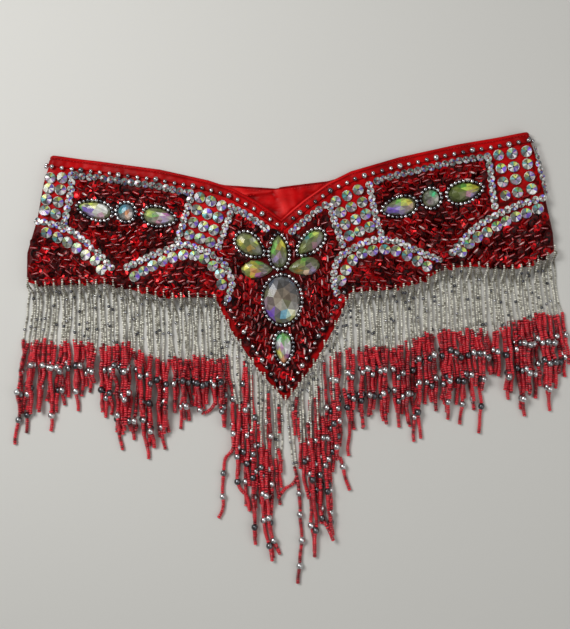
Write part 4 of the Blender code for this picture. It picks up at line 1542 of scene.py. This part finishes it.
handLaid = [  # strands that stray: their path, and the length of clear beads at its start
    ([(-47, -150), (-47, -185), (-56, -200), (-58, -235), (-63, -247)], 0),
    ([(-41, -96), (-41, -150), (-45, -213), (-37, -228), (-36, -241)], 60),
    ([(-30, -114), (-31, -170), (-32, -240), (-32, -268)], 58),
    ([(-22, -126), (-24, -190), (-24, -250), (-18, -283)], 60),
    ([(-18, -130), (-20, -190), (-20, -250), (-12, -277)], 58),
    ([(0, -148), (3, -180), (4, -214), (-6, -224), (-15, -233)], 66),
    ([(-8, -142), (-9, -180)], 12), ([(8, -138), (5, -165)], 9),
    ([(12, -134), (12, -190), (11, -210), (12, -225), (15, -235)], 50),
    ([(18, -126), (18, -190), (18, -230), (19, -253), (17, -280)], 54),
    ([(24, -118), (24, -205), (24, -243), (33, -267)], 56),
    ([(28, -110), (28, -195), (29, -215), (31, -250)], 52),
    ([(38, -95), (38, -190), (42, -200), (48, -226)], 54),
    ([(-75, -112), (-74, -150), (-70, -157), (-64, -153), (-60, -147)], 0),
]
middleStrand = [
    (-2, -144), (-2, -151), (0, -180), (2, -200), (3, -205), (6, -225), (6.5, -250), (6, -272), (2, -303),
]


def layFringe():
    # the under layer first, then the V's strands, the pairs over them, and the listed strays
    strands = Strands()
    for region, ends, tips in (("left", (-208.4, -57), "leftTips"), ("right", (60.9, 224), "rightTips")):
        for x in np.arange(*ends, 2 * fringe["underGap"]):
            path, clear, slip = sidePath(x, 0, fringe[tips])
            strands.add(region, path, clear, int(chance.integers(0, 2)), slip, shaded=1.1)
    vSides = (("centreLeft", (-57, -5), "leftVTips"), ("centreRight", (3, 55), "rightVTips"))
    for region, ends, tips in vSides:
        places = np.arange(*ends, fringe["vGap"])
        for i in chance.permutation(len(places)):
            path, clear = vPath(places[i], fringe[tips], fringe["vLaps"][i % 3])
            strands.add(region, path, clear, 2)
    pairs = 2 * fringe["strandGap"]
    for region, ends, tips in (("left", (-211.9, -57.5), "leftTips"), ("right", (57.4, 226), "rightTips")):
        for attach in chance.permutation(np.arange(*ends, pairs)):
            for pair in (-1, 1):
                path, clear, slip = sidePath(attach, pair, fringe[tips])
                strands.add(region, path, clear, int(chance.integers(0, 3)), slip, shaded=0.9 * (pair > 0))
    for path, clear in handLaid:
        region = "centreLeft" if path[0][0] < -1 else "centreRight"
        region = "left" if path[0][0] < -60 else region
        strands.add(region, path, clear, 1, 0.0, 0.7)
    strands.add("middle", middleStrand, 58, 3, 2.0, 0.5)
    return strands


seedShape = turned([(-0.5, 0.5), (-0.2, 1.0), (0.2, 1.0), (0.5, 0.5)], 6)
clearShape = turned([(-0.5, 0.3), (0, 1.0), (0.5, 0.3)], 6)
seedRingShade = np.repeat([-0.85, 0.24, 0.24, -0.85], 6)  # painted shade where two beads meet, and a painted highlight round each bead's middle
# the same painted shade and highlight for the clear beads
clearRingShade = np.repeat([-0.8, 0.34, -0.8], 6)


def fringePiece(name, strands, region, kinds, shape, finish, slotName, stretch, ring):
    # one mesh of a region's beads of some kinds, each rolled its own way round its strand
    spots, ways, radii, tone = strands.beads(region, kinds)
    roll = unit(np.column_stack([chance.normal(0, 0.6, (len(spots), 2)), np.ones(len(spots))]))
    scales = np.column_stack([radii * stretch, radii, radii])
    tone = np.clip(tone, -0.2, 1.1)
    return scatter(name, shape, spots, framesOf(ways, roll), scales, finish, tone, ring=ring)


print("fringe")
strands = layFringe()
regions = {
    "left": "fringe_left", "right": "fringe_right", "centreLeft": "fringe_centre_left",
    "centreRight": "fringe_centre_right", "middle": "fringe_middle",
}
strung = [  # name, kinds of bead, shape, finish, slot, stretch along the strand, and tones round the shape
    ("Red", [redBead], seedShape, "berry", "red_beads", 1.1, seedRingShade),
    ("Clear", [clearBead], clearShape, "crystal", "clear_beads", 1.46, clearRingShade),
    ("Steel", [sparkBead, steelBead], beadShape, "steel", "silver_beads", 1.0, 0.0),
]
fringePieces = []
for region, node in regions.items():
    made = [fringePiece(region + "Fringe" + row[0], strands, region, *row[1:]) for row in strung]
    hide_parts(node)
    fringePieces += made

beadwork = [stoneFrames, edgeBeads, largeDiscs, smallDiscs, discThreads, cupSequins, bugleBeads]


# what the cloth was cut to
beadwork + cutStones + fringePieces
bindingLength * mm
bindingArea / (bindingLength * mm)


def makeFloor():
    # one square, just under the belt
    side = studio["floorSide"]
    level = studio["floorLevel"]
    corners = [(-side, -side, level), (side, -side, level), (side, side, level), (-side, side, level)]
    mesh = bpy.data.meshes.new("floor")
    mesh.from_pydata(corners, [], [(0, 1, 2, 3)])
    table = Finish("paleTable")
    table.done({"Base Color": paint("floor"), "Roughness": 0.75})
    mesh.materials.append(table.material)
    made = bpy.data.objects.new("floor", mesh)
    bpy.context.scene.collection.objects.link(made)


makeFloor()
